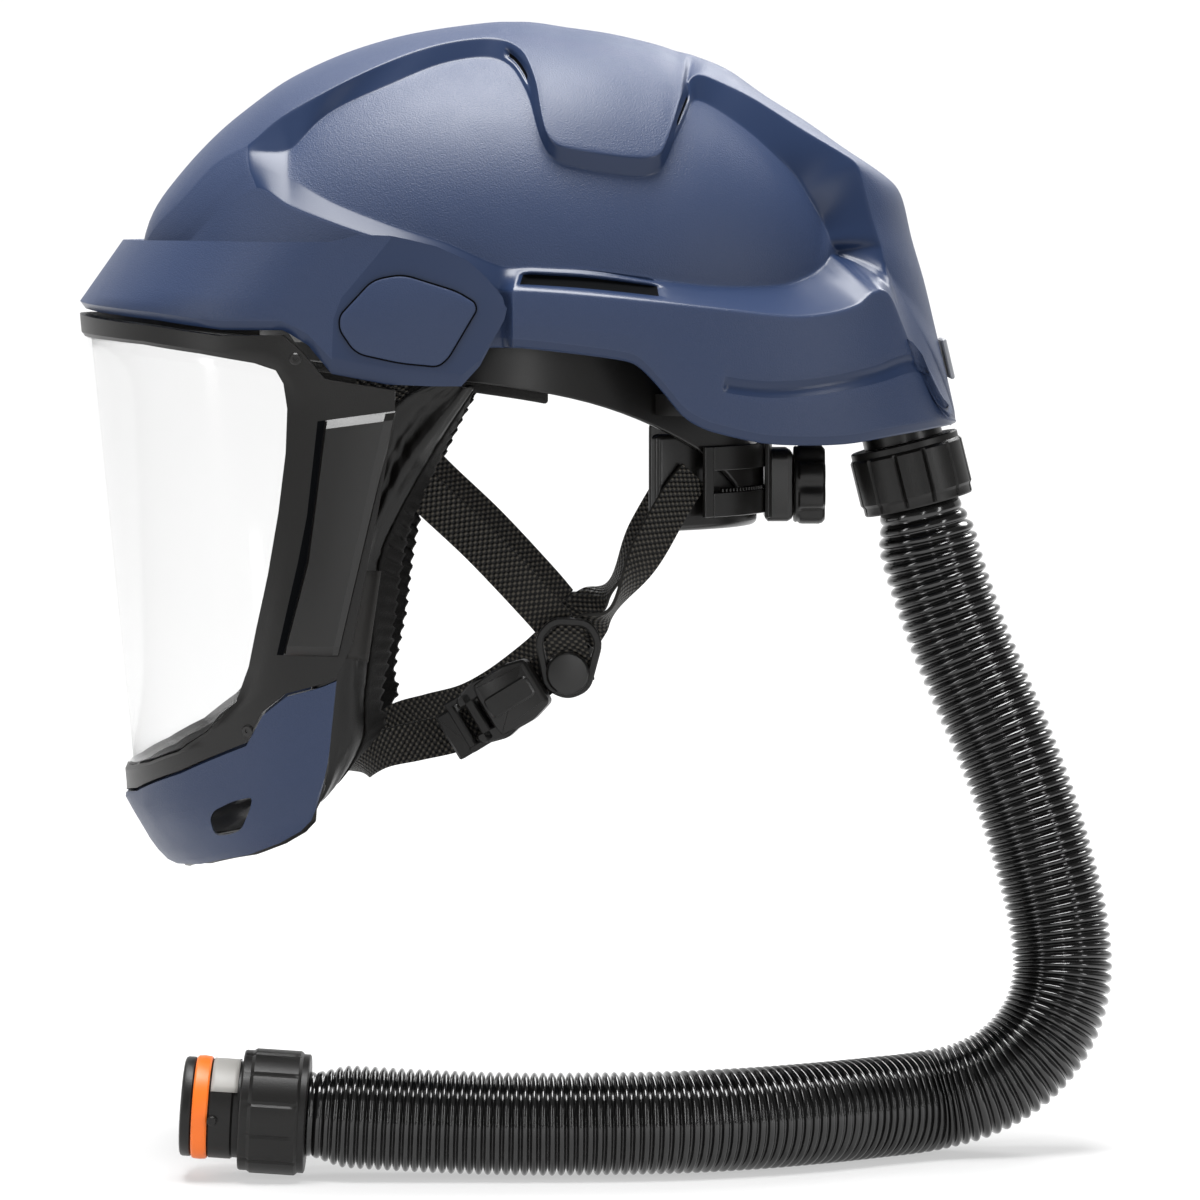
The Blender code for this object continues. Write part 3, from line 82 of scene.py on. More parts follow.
def makeMaterial(name, s):
    # One Principled shader. Sizes and depths of grain, mottle and weave are in millimetres.
    made = bpy.data.materials.new(name)
    made.use_nodes = True
    tree = made.node_tree
    shader = tree.nodes["Principled BSDF"]
    shader.inputs["Base Color"].default_value = linear(s["colour"])
    shader.inputs["Roughness"].default_value = s["roughness"]
    for key, socket in (("coat", "Coat Weight"), ("coatRoughness", "Coat Roughness"),
                        ("specular", "Specular IOR Level")):
        if key in s:
            shader.inputs[socket].default_value = s[key]
    place = addNode(tree, "ShaderNodeTexCoord")
    normal = None
    if "grain" in s:
        size, depth = s["grain"]
        grain = addNode(tree, "ShaderNodeTexNoise", {"Scale": 1000.0 / size, "Detail": 2.0, "Roughness": 0.6},
                        {"Vector": place.outputs["Object"]})
        bump = addNode(tree, "ShaderNodeBump", {"Distance": depth / 1000.0, "Strength": 1.0},
                       {"Height": grain.outputs["Fac"]})
        normal = bump.outputs["Normal"]
    if "weave" in s:
        across, along, depth = s["weave"]
        uv = addNode(tree, "ShaderNodeUVMap", {"uv_map": "cloth"})
        parts = addNode(tree, "ShaderNodeSeparateXYZ", None, {"Vector": uv.outputs["UV"]})
        waves = []
        for source, pitch in ((parts.outputs["Y"], along), (parts.outputs["X"], across)):
            turn = addNode(tree, "ShaderNodeMath", {"operation": "MULTIPLY", 1: 2000.0 * math.pi / pitch},
                           {0: source})
            waves.append(addNode(tree, "ShaderNodeMath", {"operation": "SINE"}, {0: turn.outputs["Value"]}))
        height = addNode(tree, "ShaderNodeMath", {"operation": "MULTIPLY"},
                         {0: waves[0].outputs["Value"], 1: waves[1].outputs["Value"]})
        bump = addNode(tree, "ShaderNodeBump", {"Distance": depth / 1000.0, "Strength": 1.0},
                       {"Height": height.outputs["Value"]})
        normal = bump.outputs["Normal"]
        # Painted shade: where the weave is low the colour runs to near black, so the hollows between the threads
        # read dark.
        dark, light = s["weaveShade"]
        share = addNode(tree, "ShaderNodeMapRange", {"From Min": dark, "From Max": light},
                        {"Value": height.outputs["Value"]})
        mix = addNode(tree, "ShaderNodeMix", {"data_type": "RGBA"}, {"Factor": share.outputs["Result"]})
        mix.inputs[6].default_value = (*[s["hollowShade"]] * 3, 1.0)  # inputs 6 and 7 are the two colours
        mix.inputs[7].default_value = linear(s["colour"])
        tree.links.new(mix.outputs[2], shader.inputs["Base Color"])
    if "mottle" in s:
        size, amount = s["mottle"]
        cloud = addNode(tree, "ShaderNodeTexNoise", {"Scale": 1000.0 / size, "Detail": 3.0},
                        {"Vector": place.outputs["Object"]})
        spread = addNode(tree, "ShaderNodeMapRange",
                         {"To Min": s["roughness"] - amount, "To Max": s["roughness"] + amount},
                         {"Value": cloud.outputs["Fac"]})
        tree.links.new(spread.outputs["Result"], shader.inputs["Roughness"])
    if normal is not None:
        tree.links.new(normal, shader.inputs["Normal"])
    return made


def makeClear(name, s):
    # Clear sheet: a faint tint and a glossy skin that shows at glancing angles.
    made = bpy.data.materials.new(name)
    made.use_nodes = True
    tree = made.node_tree
    tree.nodes.clear()
    through = addNode(tree, "ShaderNodeBsdfTransparent", {"Color": linear(s["tint"])})
    skin = addNode(tree, "ShaderNodeBsdfGlossy", {"Color": (1.0, 1.0, 1.0, 1.0), "Roughness": s["roughness"]})
    fresnel = addNode(tree, "ShaderNodeFresnel", {"IOR": s["ior"]})
    side = addNode(tree, "ShaderNodeNewGeometry")
    front = addNode(tree, "ShaderNodeMath", {"operation": "SUBTRACT", 0: 1.0}, {1: side.outputs["Backfacing"]})
    facing = addNode(tree, "ShaderNodeMath", {"operation": "MULTIPLY"},
                     {0: fresnel.outputs["Fac"], 1: front.outputs["Value"]})
    mixed = addNode(tree, "ShaderNodeMixShader", None,
                    {"Fac": facing.outputs["Value"], 1: through.outputs["BSDF"], 2: skin.outputs["BSDF"]})
    addNode(tree, "ShaderNodeOutputMaterial", None, {"Surface": mixed.outputs["Shader"]})
    return made


materials = {
    # Polyamide moulded in a spark-eroded mould: an even matt skin that spreads the light softly.
    "blueMatt": makeMaterial("polyamide_blue_matt", {
        "colour": "#2a3753", "specular": 0.35, "roughness": 0.44, "grain": (0.62, 0.16), "mottle": (9.0, 0.04)}),
    # The same polyamide where the mould is polished: darker, with clearer gleams along the steps.
    "blueGloss": makeMaterial("polyamide_blue_polished", {
        "colour": "#202e4a", "specular": 0.32, "roughness": 0.30, "grain": (6.0, 0.01)}),
    # Polyamide moulded with a fine texture: a soft black without sharp reflections.
    "blackMatt": makeMaterial("polyamide_black_textured", {
        "colour": "#11100f", "specular": 0.35, "roughness": 0.40, "grain": (0.55, 0.05)}),
    # Nylon from a smooth mould: black with a satin gleam at its edges.
    "blackSatin": makeMaterial("nylon_black_satin", {
        "colour": "#0f0e0d", "specular": 0.45, "roughness": 0.30, "grain": (0.9, 0.02)}),
    # The gaps between mouldings: so little light comes out that they read as black lines.
    "gap": makeMaterial("shadow_gap", {"colour": "#060709", "specular": 0.05, "roughness": 0.9}),
    # Extruded, spiral-ribbed polyurethane: glossy, with a narrow highlight on every rib.
    "hose": makeMaterial("polyurethane_black_glossy", {
        "colour": "#0b0b0b", "roughness": 0.16, "coat": 0.4, "coatRoughness": 0.06}),
    # Moulded silicone: a strong orange with a wide, soft shine.
    "orange": makeMaterial("silicone_orange", {"colour": "#f47318", "roughness": 0.42}),
    # Woven black polyester webbing: dull dots of thread, with painted shade in the hollows between them. Real
    # threads are about 0.5 mm apart, and these are drawn coarser, so that they show.
    "webbing": makeMaterial("webbing_black_woven", {
        "colour": "#4a463f", "specular": 0.3, "roughness": 0.58, "weave": (3.0, 2.4, 0.45),
        "weaveShade": (-0.1, 0.8), "hollowShade": 0.0005}),
    # Knitted fabric with a smooth coating: black, with a faint sheen on its folds.
    "sealCloth": makeMaterial("fabric_black_coated", {
        "colour": "#0a0908", "specular": 0.30, "roughness": 0.33, "grain": (0.6, 0.10)}),
    # Gathered elastic: rough and deep black, almost without shine.
    "elastic": makeMaterial("elastic_black_ruched", {
        "colour": "#080706", "specular": 0.2, "roughness": 0.7, "grain": (0.7, 0.25)}),
    # Cellular foam: a flat black that shows no highlight.
    "foam": makeMaterial("foam_black_cellular", {"colour": "#141312", "roughness": 0.95, "grain": (0.9, 0.4)}),
    # Aluminium foil under a clear film, left blank: an even silver grey.
    "foil": makeMaterial("foil_silver_grey", {"colour": "#a09e9a", "roughness": 0.45}),
    # Woven label, left blank: a black a little lighter than the fabric round it.
    "label": makeMaterial("label_black_woven", {"colour": "#1a1816", "roughness": 0.7, "grain": (0.5, 0.06)}),
    # Moulded polyamide in pale grey: a plain satin surface.
    "grey": makeMaterial("polyamide_grey", {"colour": "#8d8f94", "roughness": 0.4}),
    # Thermoformed polycarbonate: clear from the front, with reflections at glancing angles.
    "clear": makeClear("polycarbonate_clear", {"tint": "#fbfbfb", "roughness": 0.12, "ior": 1.36}),
}
bothSides = ((1, "left"), (-1, "right"))
print("materials made")


def between(table, place):
    # Values between two rows, joined by straight lines.
    for low, high in zip(table, table[1:]):
        if place <= high[0]:
            break
    t = min(max((place - low[0]) / (high[0] - low[0]), 0.0), 1.0)
    return [a + (b - a) * t for a, b in zip(low[1:], high[1:])]


def smooth(table, place):
    # Values between two rows, joined by a cubic through the rows.
    last = len(table) - 1
    index = 0
    while index < last - 1 and table[index + 1][0] < place:
        index += 1
    low, high = table[index], table[index + 1]
    before, after = table[max(index - 1, 0)], table[min(index + 2, last)]
    span = high[0] - low[0]
    t = min(max((place - low[0]) / span, 0.0), 1.0)
    values = []
    for k in range(1, len(low)):
        rise = high[k] - low[k]
        start = rise if index == 0 else span * (high[k] - before[k]) / (high[0] - before[0])
        end = rise if index + 1 == last else span * (after[k] - low[k]) / (after[0] - low[0])
        a, b = start + end - 2 * rise, 3 * rise - 2 * start - end
        values.append(((a * t + b) * t + start) * t + low[k])
    return values


def at(x, y, z):
    # A point from shares of the helmet's length, half width and height.
    return Vector((x * helmetLength, y * halfWidth, z * helmetHeight))


def blend(a, b, t):
    return a + (b - a) * t


def ease(low, high, value):
    # 0 below low, 1 above high, and a soft step between.
    t = min(max((value - low) / (high - low), 0.0), 1.0)
    return t * t * (3 - 2 * t)


def newObject(name, mesh, skins, angle=None):
    made = bpy.data.objects.new(name, mesh)
    scene.collection.objects.link(made)
    for skin in skins:
        mesh.materials.append(materials[skin])
    mesh.shade_smooth()
    if angle:
        mesh.set_sharp_from_angle(angle=math.radians(angle))
    return made


def gridObject(name, columns, skins, closed=False, loop=False, angle=None, pick=None, uv=None):
    # Faces between columns of points. closed joins the last column to the first, loop each column's ends.
    form = bmesh.new()
    rows = [[form.verts.new(p) for p in column] for column in columns]
    layer = form.loops.layers.uv.new("cloth") if uv else None
    wide = len(rows) if closed else len(rows) - 1
    tall = len(rows[0]) if loop else len(rows[0]) - 1
    for i in range(wide):
        left, right = rows[i], rows[(i + 1) % len(rows)]
        for j in range(tall):
            k = (j + 1) % len(left)
            face = form.faces.new((left[j], left[k], right[k], right[j]))
            if pick:
                face.material_index = pick(i, j)
            if uv:
                for corner, spot in zip(face.loops, ((i, j), (i, j + 1), (i + 1, j + 1), (i + 1, j))):
                    corner[layer].uv = uv(*spot)
    bmesh.ops.remove_doubles(form, verts=form.verts, dist=0.00002)
    mesh = bpy.data.meshes.new(name)
    form.to_mesh(mesh)
    form.free()
    return newObject(name, mesh, skins, angle)


def addModifier(item, kind, **settings):
    made = item.modifiers.new(kind.title(), kind)
    for key, value in settings.items():
        setattr(made, key, value)
    return made


def mirrorAcross(item):
    addModifier(item, "MIRROR", use_axis=(False, True, False), use_clip=True, merge_threshold=0.0001)


def wall(item, thickness, side=-1.0, even=True):
    addModifier(item, "SOLIDIFY", thickness=thickness, offset=side, use_even_offset=even)


def soften(item, width, segments=3, angle=35):
    addModifier(item, "BEVEL", width=width, segments=segments, limit_method="ANGLE",
                angle_limit=math.radians(angle), harden_normals=True)


def settle(item, body, nodes):
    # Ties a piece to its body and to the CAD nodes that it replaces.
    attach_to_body(item, body)
    if nodes:
        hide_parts(*nodes)
    return item


def setAlong(item, spot, direction):
    item.matrix_world = Matrix.Translation(spot) @ direction.to_track_quat("Z", "Y").to_matrix().to_4x4()


def faceOutward(item, closeEnds=False):
    form = bmesh.new()
    form.from_mesh(item.data)
    if closeEnds:
        bmesh.ops.holes_fill(form, edges=[e for e in form.edges if e.is_boundary])
    bmesh.ops.recalc_face_normals(form, faces=form.faces)
    form.to_mesh(item.data)
    form.free()


def lathe(name, profile, skins, sides=64, reach=None, angle=28):
    # A round piece about +Z from (radius, height) pairs. reach changes the radius by angle and height.
    columns = []
    for i in range(sides):
        turn = 2 * math.pi * i / sides
        column = []
        for radius, height in profile:
            r = reach(turn, radius, height) if reach else radius
            column.append(Vector((r * math.cos(turn), r * math.sin(turn), height)))
        columns.append(column)
    made = gridObject(name, columns, skins, True, False, angle)
    faceOutward(made)
    return made


# The hose: a spiral-ribbed tube along the route below.
hose = {
    "route": (
        (0.1555, 0.000, -0.1480), (0.1574, 0.000, -0.1558), (0.1616, 0.000, -0.1724), (0.1700, -0.001, -0.1970),
        (0.1795, -0.003, -0.2200), (0.1890, -0.006, -0.2420), (0.1975, -0.009, -0.2650),
        (0.2045, -0.011, -0.2880), (0.2098, -0.013, -0.3110), (0.2108, -0.016, -0.3320),
        (0.2050, -0.020, -0.3500), (0.1930, -0.024, -0.3640), (0.1770, -0.027, -0.3730),
        (0.1580, -0.030, -0.3775), (0.1360, -0.041, -0.3784), (0.1130, -0.055, -0.3784),
        (0.0880, -0.067, -0.3784), (0.0600, -0.0755, -0.3784), (0.0300, -0.0790, -0.3784),
        (0.0000, -0.0800, -0.3783), (-0.0300, -0.0800, -0.3774), (-0.0600, -0.0800, -0.37576),
        (-0.0790, -0.0800, -0.3745),
    ),
    "radius": 0.0195, "groove": 0.0027, "grooveAtNeck": 0.35, "ribPower": 0.6, "neck": 0.0160,
    "neckLength": 0.016, "pitchTop": 0.0047, "pitchLow": 0.0034, "pitchChange": 0.16, "sides": 60,
    "ringsPerRib": 7, "fineness": 40,
}


def hoseLine(s):
    # Close points along the route, and how far along it each one is.
    rows = [(i, *p) for i, p in enumerate(s["route"])]
    count = s["fineness"]
    fine = [Vector(smooth(rows, i / count)) for i in range(count * (len(rows) - 1) + 1)]
    walked = [0.0]
    for a, b in zip(fine, fine[1:]):
        walked.append(walked[-1] + (b - a).length)
    return fine, walked


def pointOn(fine, walked, distance, start=0):
    index = start
    while index < len(walked) - 2 and walked[index + 1] < distance:
        index += 1
    span = walked[index + 1] - walked[index]
    return fine[index].lerp(fine[index + 1], (distance - walked[index]) / span), index


def makeHose(s):
    fine, walked = hoseLine(s)
    length = walked[-1]
    path, columns, phase, distance, index = [], [], 0.0, 0.0, 0
    side = Vector((0.0, 1.0, 0.0))
    while True:
        spot, index = pointOn(fine, walked, min(distance, length), index)
        ahead = fine[min(index + 2, len(fine) - 1)]
        behind = fine[max(index - 1, 0)]
        along = (ahead - behind).normalized()
        side = (side - along * side.dot(along)).normalized()
        up = along.cross(side)
        end = min(distance, length - distance)
        taper = ease(0.0, s["neckLength"], end)
        crown = abs(math.sin(math.pi * phase)) ** s["ribPower"]
        depth = s["groove"] * (1 - crown) * blend(s["grooveAtNeck"], 1.0, taper)
        radius = s["neck"] + (s["radius"] - s["neck"]) * taper - depth
        ring = []
        for k in range(s["sides"]):
            turn = 2 * math.pi * k / s["sides"]
            ring.append(spot + (side * math.cos(turn) + up * math.sin(turn)) * radius)
        columns.append(ring)
        path.append(spot)
        if distance >= length:
            break
        pitch = blend(s["pitchTop"], s["pitchLow"], ease(0.0, s["pitchChange"], distance))
        distance += pitch / s["ringsPerRib"]
        phase += 1.0 / s["ringsPerRib"]
    made = gridObject("breathing_hose", columns, ["hose"], False, True)
    faceOutward(made, True)
    settle(made, "helmet", ["hose"])
    return made, path, length


hosePiece, hosePath, hoseLength = makeHose(hose)
print("hose made, %.3f m long" % hoseLength)

nuts = {
    "upperStart": (0.1555, 0.0, -0.1480), "upperTilt": 14.0, "lowerEnd": (-0.0790, -0.0800, -0.3745),
    "lowerTilt": 3.8, "radius": 0.0222, "lowerRadius": 0.0235, "length": 0.0250, "gap": 0.0003, "notches": 12,
    "notchShare": 0.16, "notchDepth": 0.0012, "lowerNotchDepth": 0.0005, "stub": 0.0156, "stubLength": 0.0215,
}
plugSizes = {
    "radius": 0.0188, "bore": 0.0150, "length": 0.0220, "lip": 0.0042, "ring": 0.0064, "studRadius": 0.0019,
    "studAt": 0.0098, "studDrop": 0.0018, "foilStart": 68, "foilTurn": 84, "foilLow": 0.0009, "foilHeight": 0.0101,
    "foilWall": 0.00015, "foilColumns": 12, "foilRows": 6,
}
upperTilt, lowerTilt = math.radians(nuts["upperTilt"]), math.radians(nuts["lowerTilt"])
downHose = Vector((math.sin(upperTilt), 0.0, -math.cos(upperTilt)))
outHose = Vector((-math.cos(lowerTilt), 0.0, math.sin(lowerTilt)))


def nutReach(depth, low, high):
    # Shallow grip notches round the nut between two heights.
    def reach(turn, radius, height):
        if low < height < high:
            wave = abs((turn * nuts["notches"] / (2 * math.pi)) % 1.0 - 0.5) * 2
            return radius - depth * (1 - ease(0.0, nuts["notchShare"], wave))
        return radius
    return reach


def makeNut(name, radius, notchDepth, spot, direction, nodes):
    long = nuts["length"]
    profile = [(0.0, 0.0), (0.8 * radius, 0.0), (0.93 * radius, 0.0), (0.955 * radius, 0.0004),
               (0.955 * radius, 0.0026), (radius - 0.0005, 0.0031), (radius, 0.0038), (radius, 0.006),
               (radius, 0.012), (radius, long - 0.0045), (radius - 0.0006, long - 0.0036),
               (0.965 * radius, long - 0.0032), (0.965 * radius, long - 0.0006), (0.95 * radius, long),
               (0.8 * radius, long), (0.0, long)]
    nut = lathe(name, profile, ["blackMatt"], 144, nutReach(notchDepth, 0.0034, long - 0.003))
    setAlong(nut, spot, direction)
    return settle(nut, "helmet", nodes)


upperStart, lowerEnd = Vector(nuts["upperStart"]), Vector(nuts["lowerEnd"])
upperNut = makeNut("hose_nut_upper", nuts["radius"], nuts["notchDepth"],
                   upperStart - downHose * (nuts["length"] + nuts["gap"]), downHose, ["upper_nut"])
lowerNut = makeNut("hose_nut_lower", nuts["lowerRadius"], nuts["lowerNotchDepth"],
                   lowerEnd + outHose * nuts["gap"], outHose, ["lower_nut"])


def makePlug(s):
    # The hollow plug with its sealing ring, blank foil label and bayonet stud.
    r, long, bore = s["radius"], s["length"], s["bore"]
    base = lowerEnd + outHose * (nuts["length"] + 2 * nuts["gap"])
    ringLow, ringHigh = long - s["lip"] - s["ring"], long - s["lip"]
    profile = [(0.0, 0.0), (0.8 * r, 0.0), (r - 0.0006, 0.0), (r - 0.0006, 0.0022), (r, 0.003),
               (r, ringLow - 0.0004), (r - 0.0004, ringLow), (r - 0.0016, ringLow), (r - 0.0016, ringHigh),
               (r - 0.0004, ringHigh), (r, ringHigh + 0.0004), (r, long - 0.0012), (r - 0.0004, long - 0.0004),
               (r - 0.0012, long), (bore + 0.0006, long), (bore, long - 0.0006), (bore, 0.006),
               (bore - 0.001, 0.0034), (0.0, 0.0034)]
    plug = lathe("hose_plug", profile, ["blackMatt"], 96)
    setAlong(plug, base, outHose)
    settle(plug, "helmet", ["plug"])
    ringProfile = [(r - 0.0013, ringLow + 0.0003), (r + 0.0001, ringLow + 0.0003), (r + 0.0006, ringLow + 0.0009),
                   (r + 0.0008, (ringLow + ringHigh) / 2), (r + 0.0006, ringHigh - 0.0009),
                   (r + 0.0001, ringHigh - 0.0003), (r - 0.0013, ringHigh - 0.0003)]
    sealRing = lathe("plug_seal_ring", ringProfile + ringProfile[:1], ["orange"], 96)
    setAlong(sealRing, base, outHose)
    settle(sealRing, "helmet", ["seal_ring"])
    way = outHose.to_track_quat("Z", "Y").to_matrix() @ Vector((0.0, 1.0, 0.0))
    other = outHose.cross(way)
    columns = []
    for i in range(s["foilColumns"] + 1):
        turn = math.radians(s["foilStart"] + s["foilTurn"] * i / s["foilColumns"])
        outward = (other * math.cos(turn) + way * math.sin(turn)) * (r + 0.0001)
        columns.append([base + outHose * (s["foilLow"] + s["foilHeight"] * j / s["foilRows"]) + outward
                        for j in range(s["foilRows"] + 1)])
    foil = gridObject("plug_label", columns, ["foil"])
    wall(foil, s["foilWall"], 0.0)
    settle(foil, "helmet", [])
    wide = s["studRadius"]
    stud = lathe("plug_stud", [(0.0, 0.0), (wide, 0.0), (wide, 0.0014), (wide - 0.0004, 0.0018), (0.0, 0.0018)],
                 ["blackMatt"], 24)
    spot = base + outHose * s["studAt"] + Vector((0.0, -r - 0.00005, -s["studDrop"]))
    setAlong(stud, spot, Vector((0.0, -1.0, -0.09)))
    settle(stud, "helmet", [])
    return [plug, sealRing, foil, stud]


plugPieces = makePlug(plugSizes)
stubFoot = upperStart - downHose * (nuts["length"] + 2 * nuts["gap"])
stub = lathe("hose_inlet_stub", [(0.0, 0.0), (nuts["stub"], 0.0), (nuts["stub"], nuts["stubLength"]),
                                 (0.0, nuts["stubLength"])], ["blackSatin"])
setAlong(stub, stubFoot, -downHose)
settle(stub, "helmet", ["inlet_stub"])
[tuple(p) for p in hosePath]
print("hose ends made")

# The shell. Rows are stations from the forehead to the nape; values are shares, x then z.
shell = {
    "crest": (
        (0, -0.435, -0.190), (1, -0.421, -0.112), (2, -0.388, -0.061), (3, -0.347, -0.015), (4, -0.309, 0.018),
        (5, -0.262, 0.052), (6, -0.200, 0.082), (7, -0.132, 0.103), (9, -0.044, 0.117), (11, -0.003, 0.119),
        (13, 0.021, 0.118), (16, 0.056, 0.113), (18, 0.103, 0.106), (20, 0.153, 0.094), (22, 0.179, 0.085),
        (24, 0.200, 0.079), (26, 0.241, 0.061), (27, 0.279, 0.033), (28, 0.326, 0.003), (29, 0.371, -0.030),
        (30, 0.412, -0.058), (31, 0.435, -0.082), (32, 0.447, -0.133), (33, 0.462, -0.185), (34, 0.476, -0.245),
        (35, 0.488, -0.297), (36, 0.500, -0.348),
    ),
    "step": (
        (0, -0.435, -0.190, -0.435, -0.190), (1, -0.415, -0.130, -0.415, -0.139),
        (2, -0.376, -0.091, -0.376, -0.100), (3, -0.338, -0.048, -0.338, -0.061),
        (4, -0.300, -0.027, -0.300, -0.036), (5, -0.262, 0.006, -0.253, -0.033), (6, -0.194, 0.045, -0.212, 0.009),
        (7, -0.129, 0.076, -0.141, 0.042), (8, -0.082, 0.091, -0.091, 0.064), (9, -0.041, 0.097, -0.047, 0.073),
        (10, -0.018, 0.095, -0.021, 0.070), (11, -0.003, 0.088, -0.006, 0.061), (12, 0.009, 0.076, 0.006, 0.042),
        (13, 0.021, 0.045, 0.015, 0.021), (14, 0.026, 0.015, 0.021, -0.003), (15, 0.032, -0.012, 0.029, -0.027),
        (16, 0.044, -0.027, 0.041, -0.045), (17, 0.065, -0.033, 0.062, -0.052), (18, 0.103, -0.039, 0.103, -0.061),
        (19, 0.138, -0.042, 0.135, -0.064), (20, 0.156, -0.039, 0.156, -0.058), (21, 0.165, -0.024, 0.165, -0.045),
        (22, 0.174, 0.003, 0.174, -0.024), (23, 0.182, 0.030, 0.185, 0.000), (24, 0.191, 0.048, 0.194, 0.021),
        (25, 0.203, 0.055, 0.203, 0.024), (26, 0.229, 0.045, 0.226, 0.012), (27, 0.265, 0.027, 0.259, -0.012),
        (28, 0.315, -0.006, 0.288, -0.039), (29, 0.359, -0.033, 0.312, -0.064), (30, 0.379, -0.048, 0.326, -0.088),
        (31, 0.388, -0.076, 0.338, -0.109), (32, 0.397, -0.112, 0.347, -0.127), (33, 0.406, -0.142, 0.358, -0.148),
        (34, 0.415, -0.173, 0.418, -0.182), (35, 0.465, -0.267, 0.465, -0.276), (36, 0.500, -0.348, 0.500, -0.348),
    ),
    "panelFoot": (
        (0, -0.435, -0.190), (1, -0.415, -0.161), (2, -0.376, -0.130), (3, -0.338, -0.091), (4, -0.297, -0.055),
        (5, -0.253, -0.064), (6, -0.206, -0.091), (7, -0.138, -0.118), (8, -0.082, -0.136), (10, -0.018, -0.164),
        (12, 0.021, -0.166), (16, 0.085, -0.170), (20, 0.159, -0.181), (24, 0.221, -0.188), (28, 0.294, -0.187),
        (30, 0.326, -0.176), (32, 0.344, -0.163), (33, 0.358, -0.1535), (34, 0.418, -0.191), (35, 0.465, -0.288),
        (36, 0.500, -0.348),
    ),
    "bandTop": (
        (0, -0.435, -0.190), (1, -0.415, -0.173), (2, -0.376, -0.148), (3, -0.335, -0.106), (4, -0.288, -0.076),
        (5, -0.250, -0.097), (6, -0.188, -0.121), (7, -0.126, -0.142), (8, -0.082, -0.161), (10, -0.018, -0.191),
        (11, -0.003, -0.191), (15, 0.059, -0.195), (19, 0.144, -0.203), (23, 0.221, -0.212), (27, 0.303, -0.221),
        (29, 0.344, -0.218), (31, 0.376, -0.209), (33, 0.397, -0.194), (34, 0.421, -0.200), (35, 0.462, -0.300),
        (36, 0.500, -0.348),
    ),
    "rim": (
        (0, -0.435, -0.190), (1, -0.412, -0.191), (2, -0.374, -0.194), (3, -0.332, -0.197), (5, -0.250, -0.206),
        (6, -0.188, -0.218), (7, -0.126, -0.242), (8, -0.082, -0.255), (10, -0.015, -0.256), (11, -0.003, -0.256),
        (12, 0.004, -0.256), (15, 0.050, -0.261), (18, 0.115, -0.270), (19, 0.132, -0.276), (20, 0.150, -0.294),
        (21, 0.165, -0.312), (22, 0.182, -0.333), (23, 0.200, -0.345), (24, 0.218, -0.352), (26, 0.268, -0.364),
        (27, 0.300, -0.367), (29, 0.362, -0.367), (31, 0.418, -0.359), (33, 0.462, -0.353), (35, 0.488, -0.350),
        (36, 0.500, -0.348),
    ),
    "ridge": (
        (24, 0.377), (25, 0.349), (26, 0.330), (27, 0.330), (28, 0.340), (29, 0.358), (30, 0.377), (31, 0.396),
        (32, 0.415), (33, 0.434), (34, 0.443), (35, 0.358), (36, 0.0),
    ),
    "last": 36, "steps": 3, "folds": (4, 5, 10, 11, 24, 33, 34), "foldWidth": 0.12, "foldClear": 0.2,
    "proud": 0.0035, "recess": 0.0022, "flare": 0.0042, "wall": 0.0030, "support": 0.0011, "swell": 0.0012,
    "domeCentre": (-0.0176, -0.1836), "domeLength": 0.4206, "domeHeight": 0.2955, "domeWidth": 0.8868,
    "bandHalf": 0.1045, "armHalf": 0.0980, "rimPower": 2.5, "rimFront": 0.4294, "rimRear": 0.5176,
    "bandRear": 0.4963, "tail": (33.4, 34.2), "tailDrop": 0.005, "slot": (11.2, 19.75, 0.0026),
    # slotDark: the stretch of the slot that is painted with shade, and how much deeper it sinks there.
    "slotDark": (11.3, 19.62, 0.0010), "groove": (24.0, 34.6, 0.0012), "grooveLine": (0.606, 0.52),
    "vents": ((10.4, 12.6), (22.2, 23.8)), "ventDepth": 0.0022, "chamfer": 0.0036, "chamferIn": 0.0016,
    "stepRows": (0.36, 0.44, 0.66, 0.74), "ledgeRows": (0.24, 0.30, 0.36, 0.68, 0.74, 0.80),
}


def domeHalf(x, z, proud=0.0):
    s = shell
    along = (x - s["domeCentre"][0] * helmetLength) / (s["domeLength"] * helmetLength + proud)
    up = max(0.0, (z - s["domeCentre"][1] * helmetHeight) / (s["domeHeight"] * helmetHeight + proud))
    return (s["domeWidth"] * halfWidth + proud) * math.sqrt(max(0.0, 1.0 - along * along - up * up))


def planHalf(x, half, rear):
    offset = x - shell["domeCentre"][0] * helmetLength
    length = (rear if offset > 0 else shell["rimFront"]) * helmetLength
    return half * max(0.0, 1.0 - abs(offset / length) ** shell["rimPower"]) ** (1.0 / shell["rimPower"])


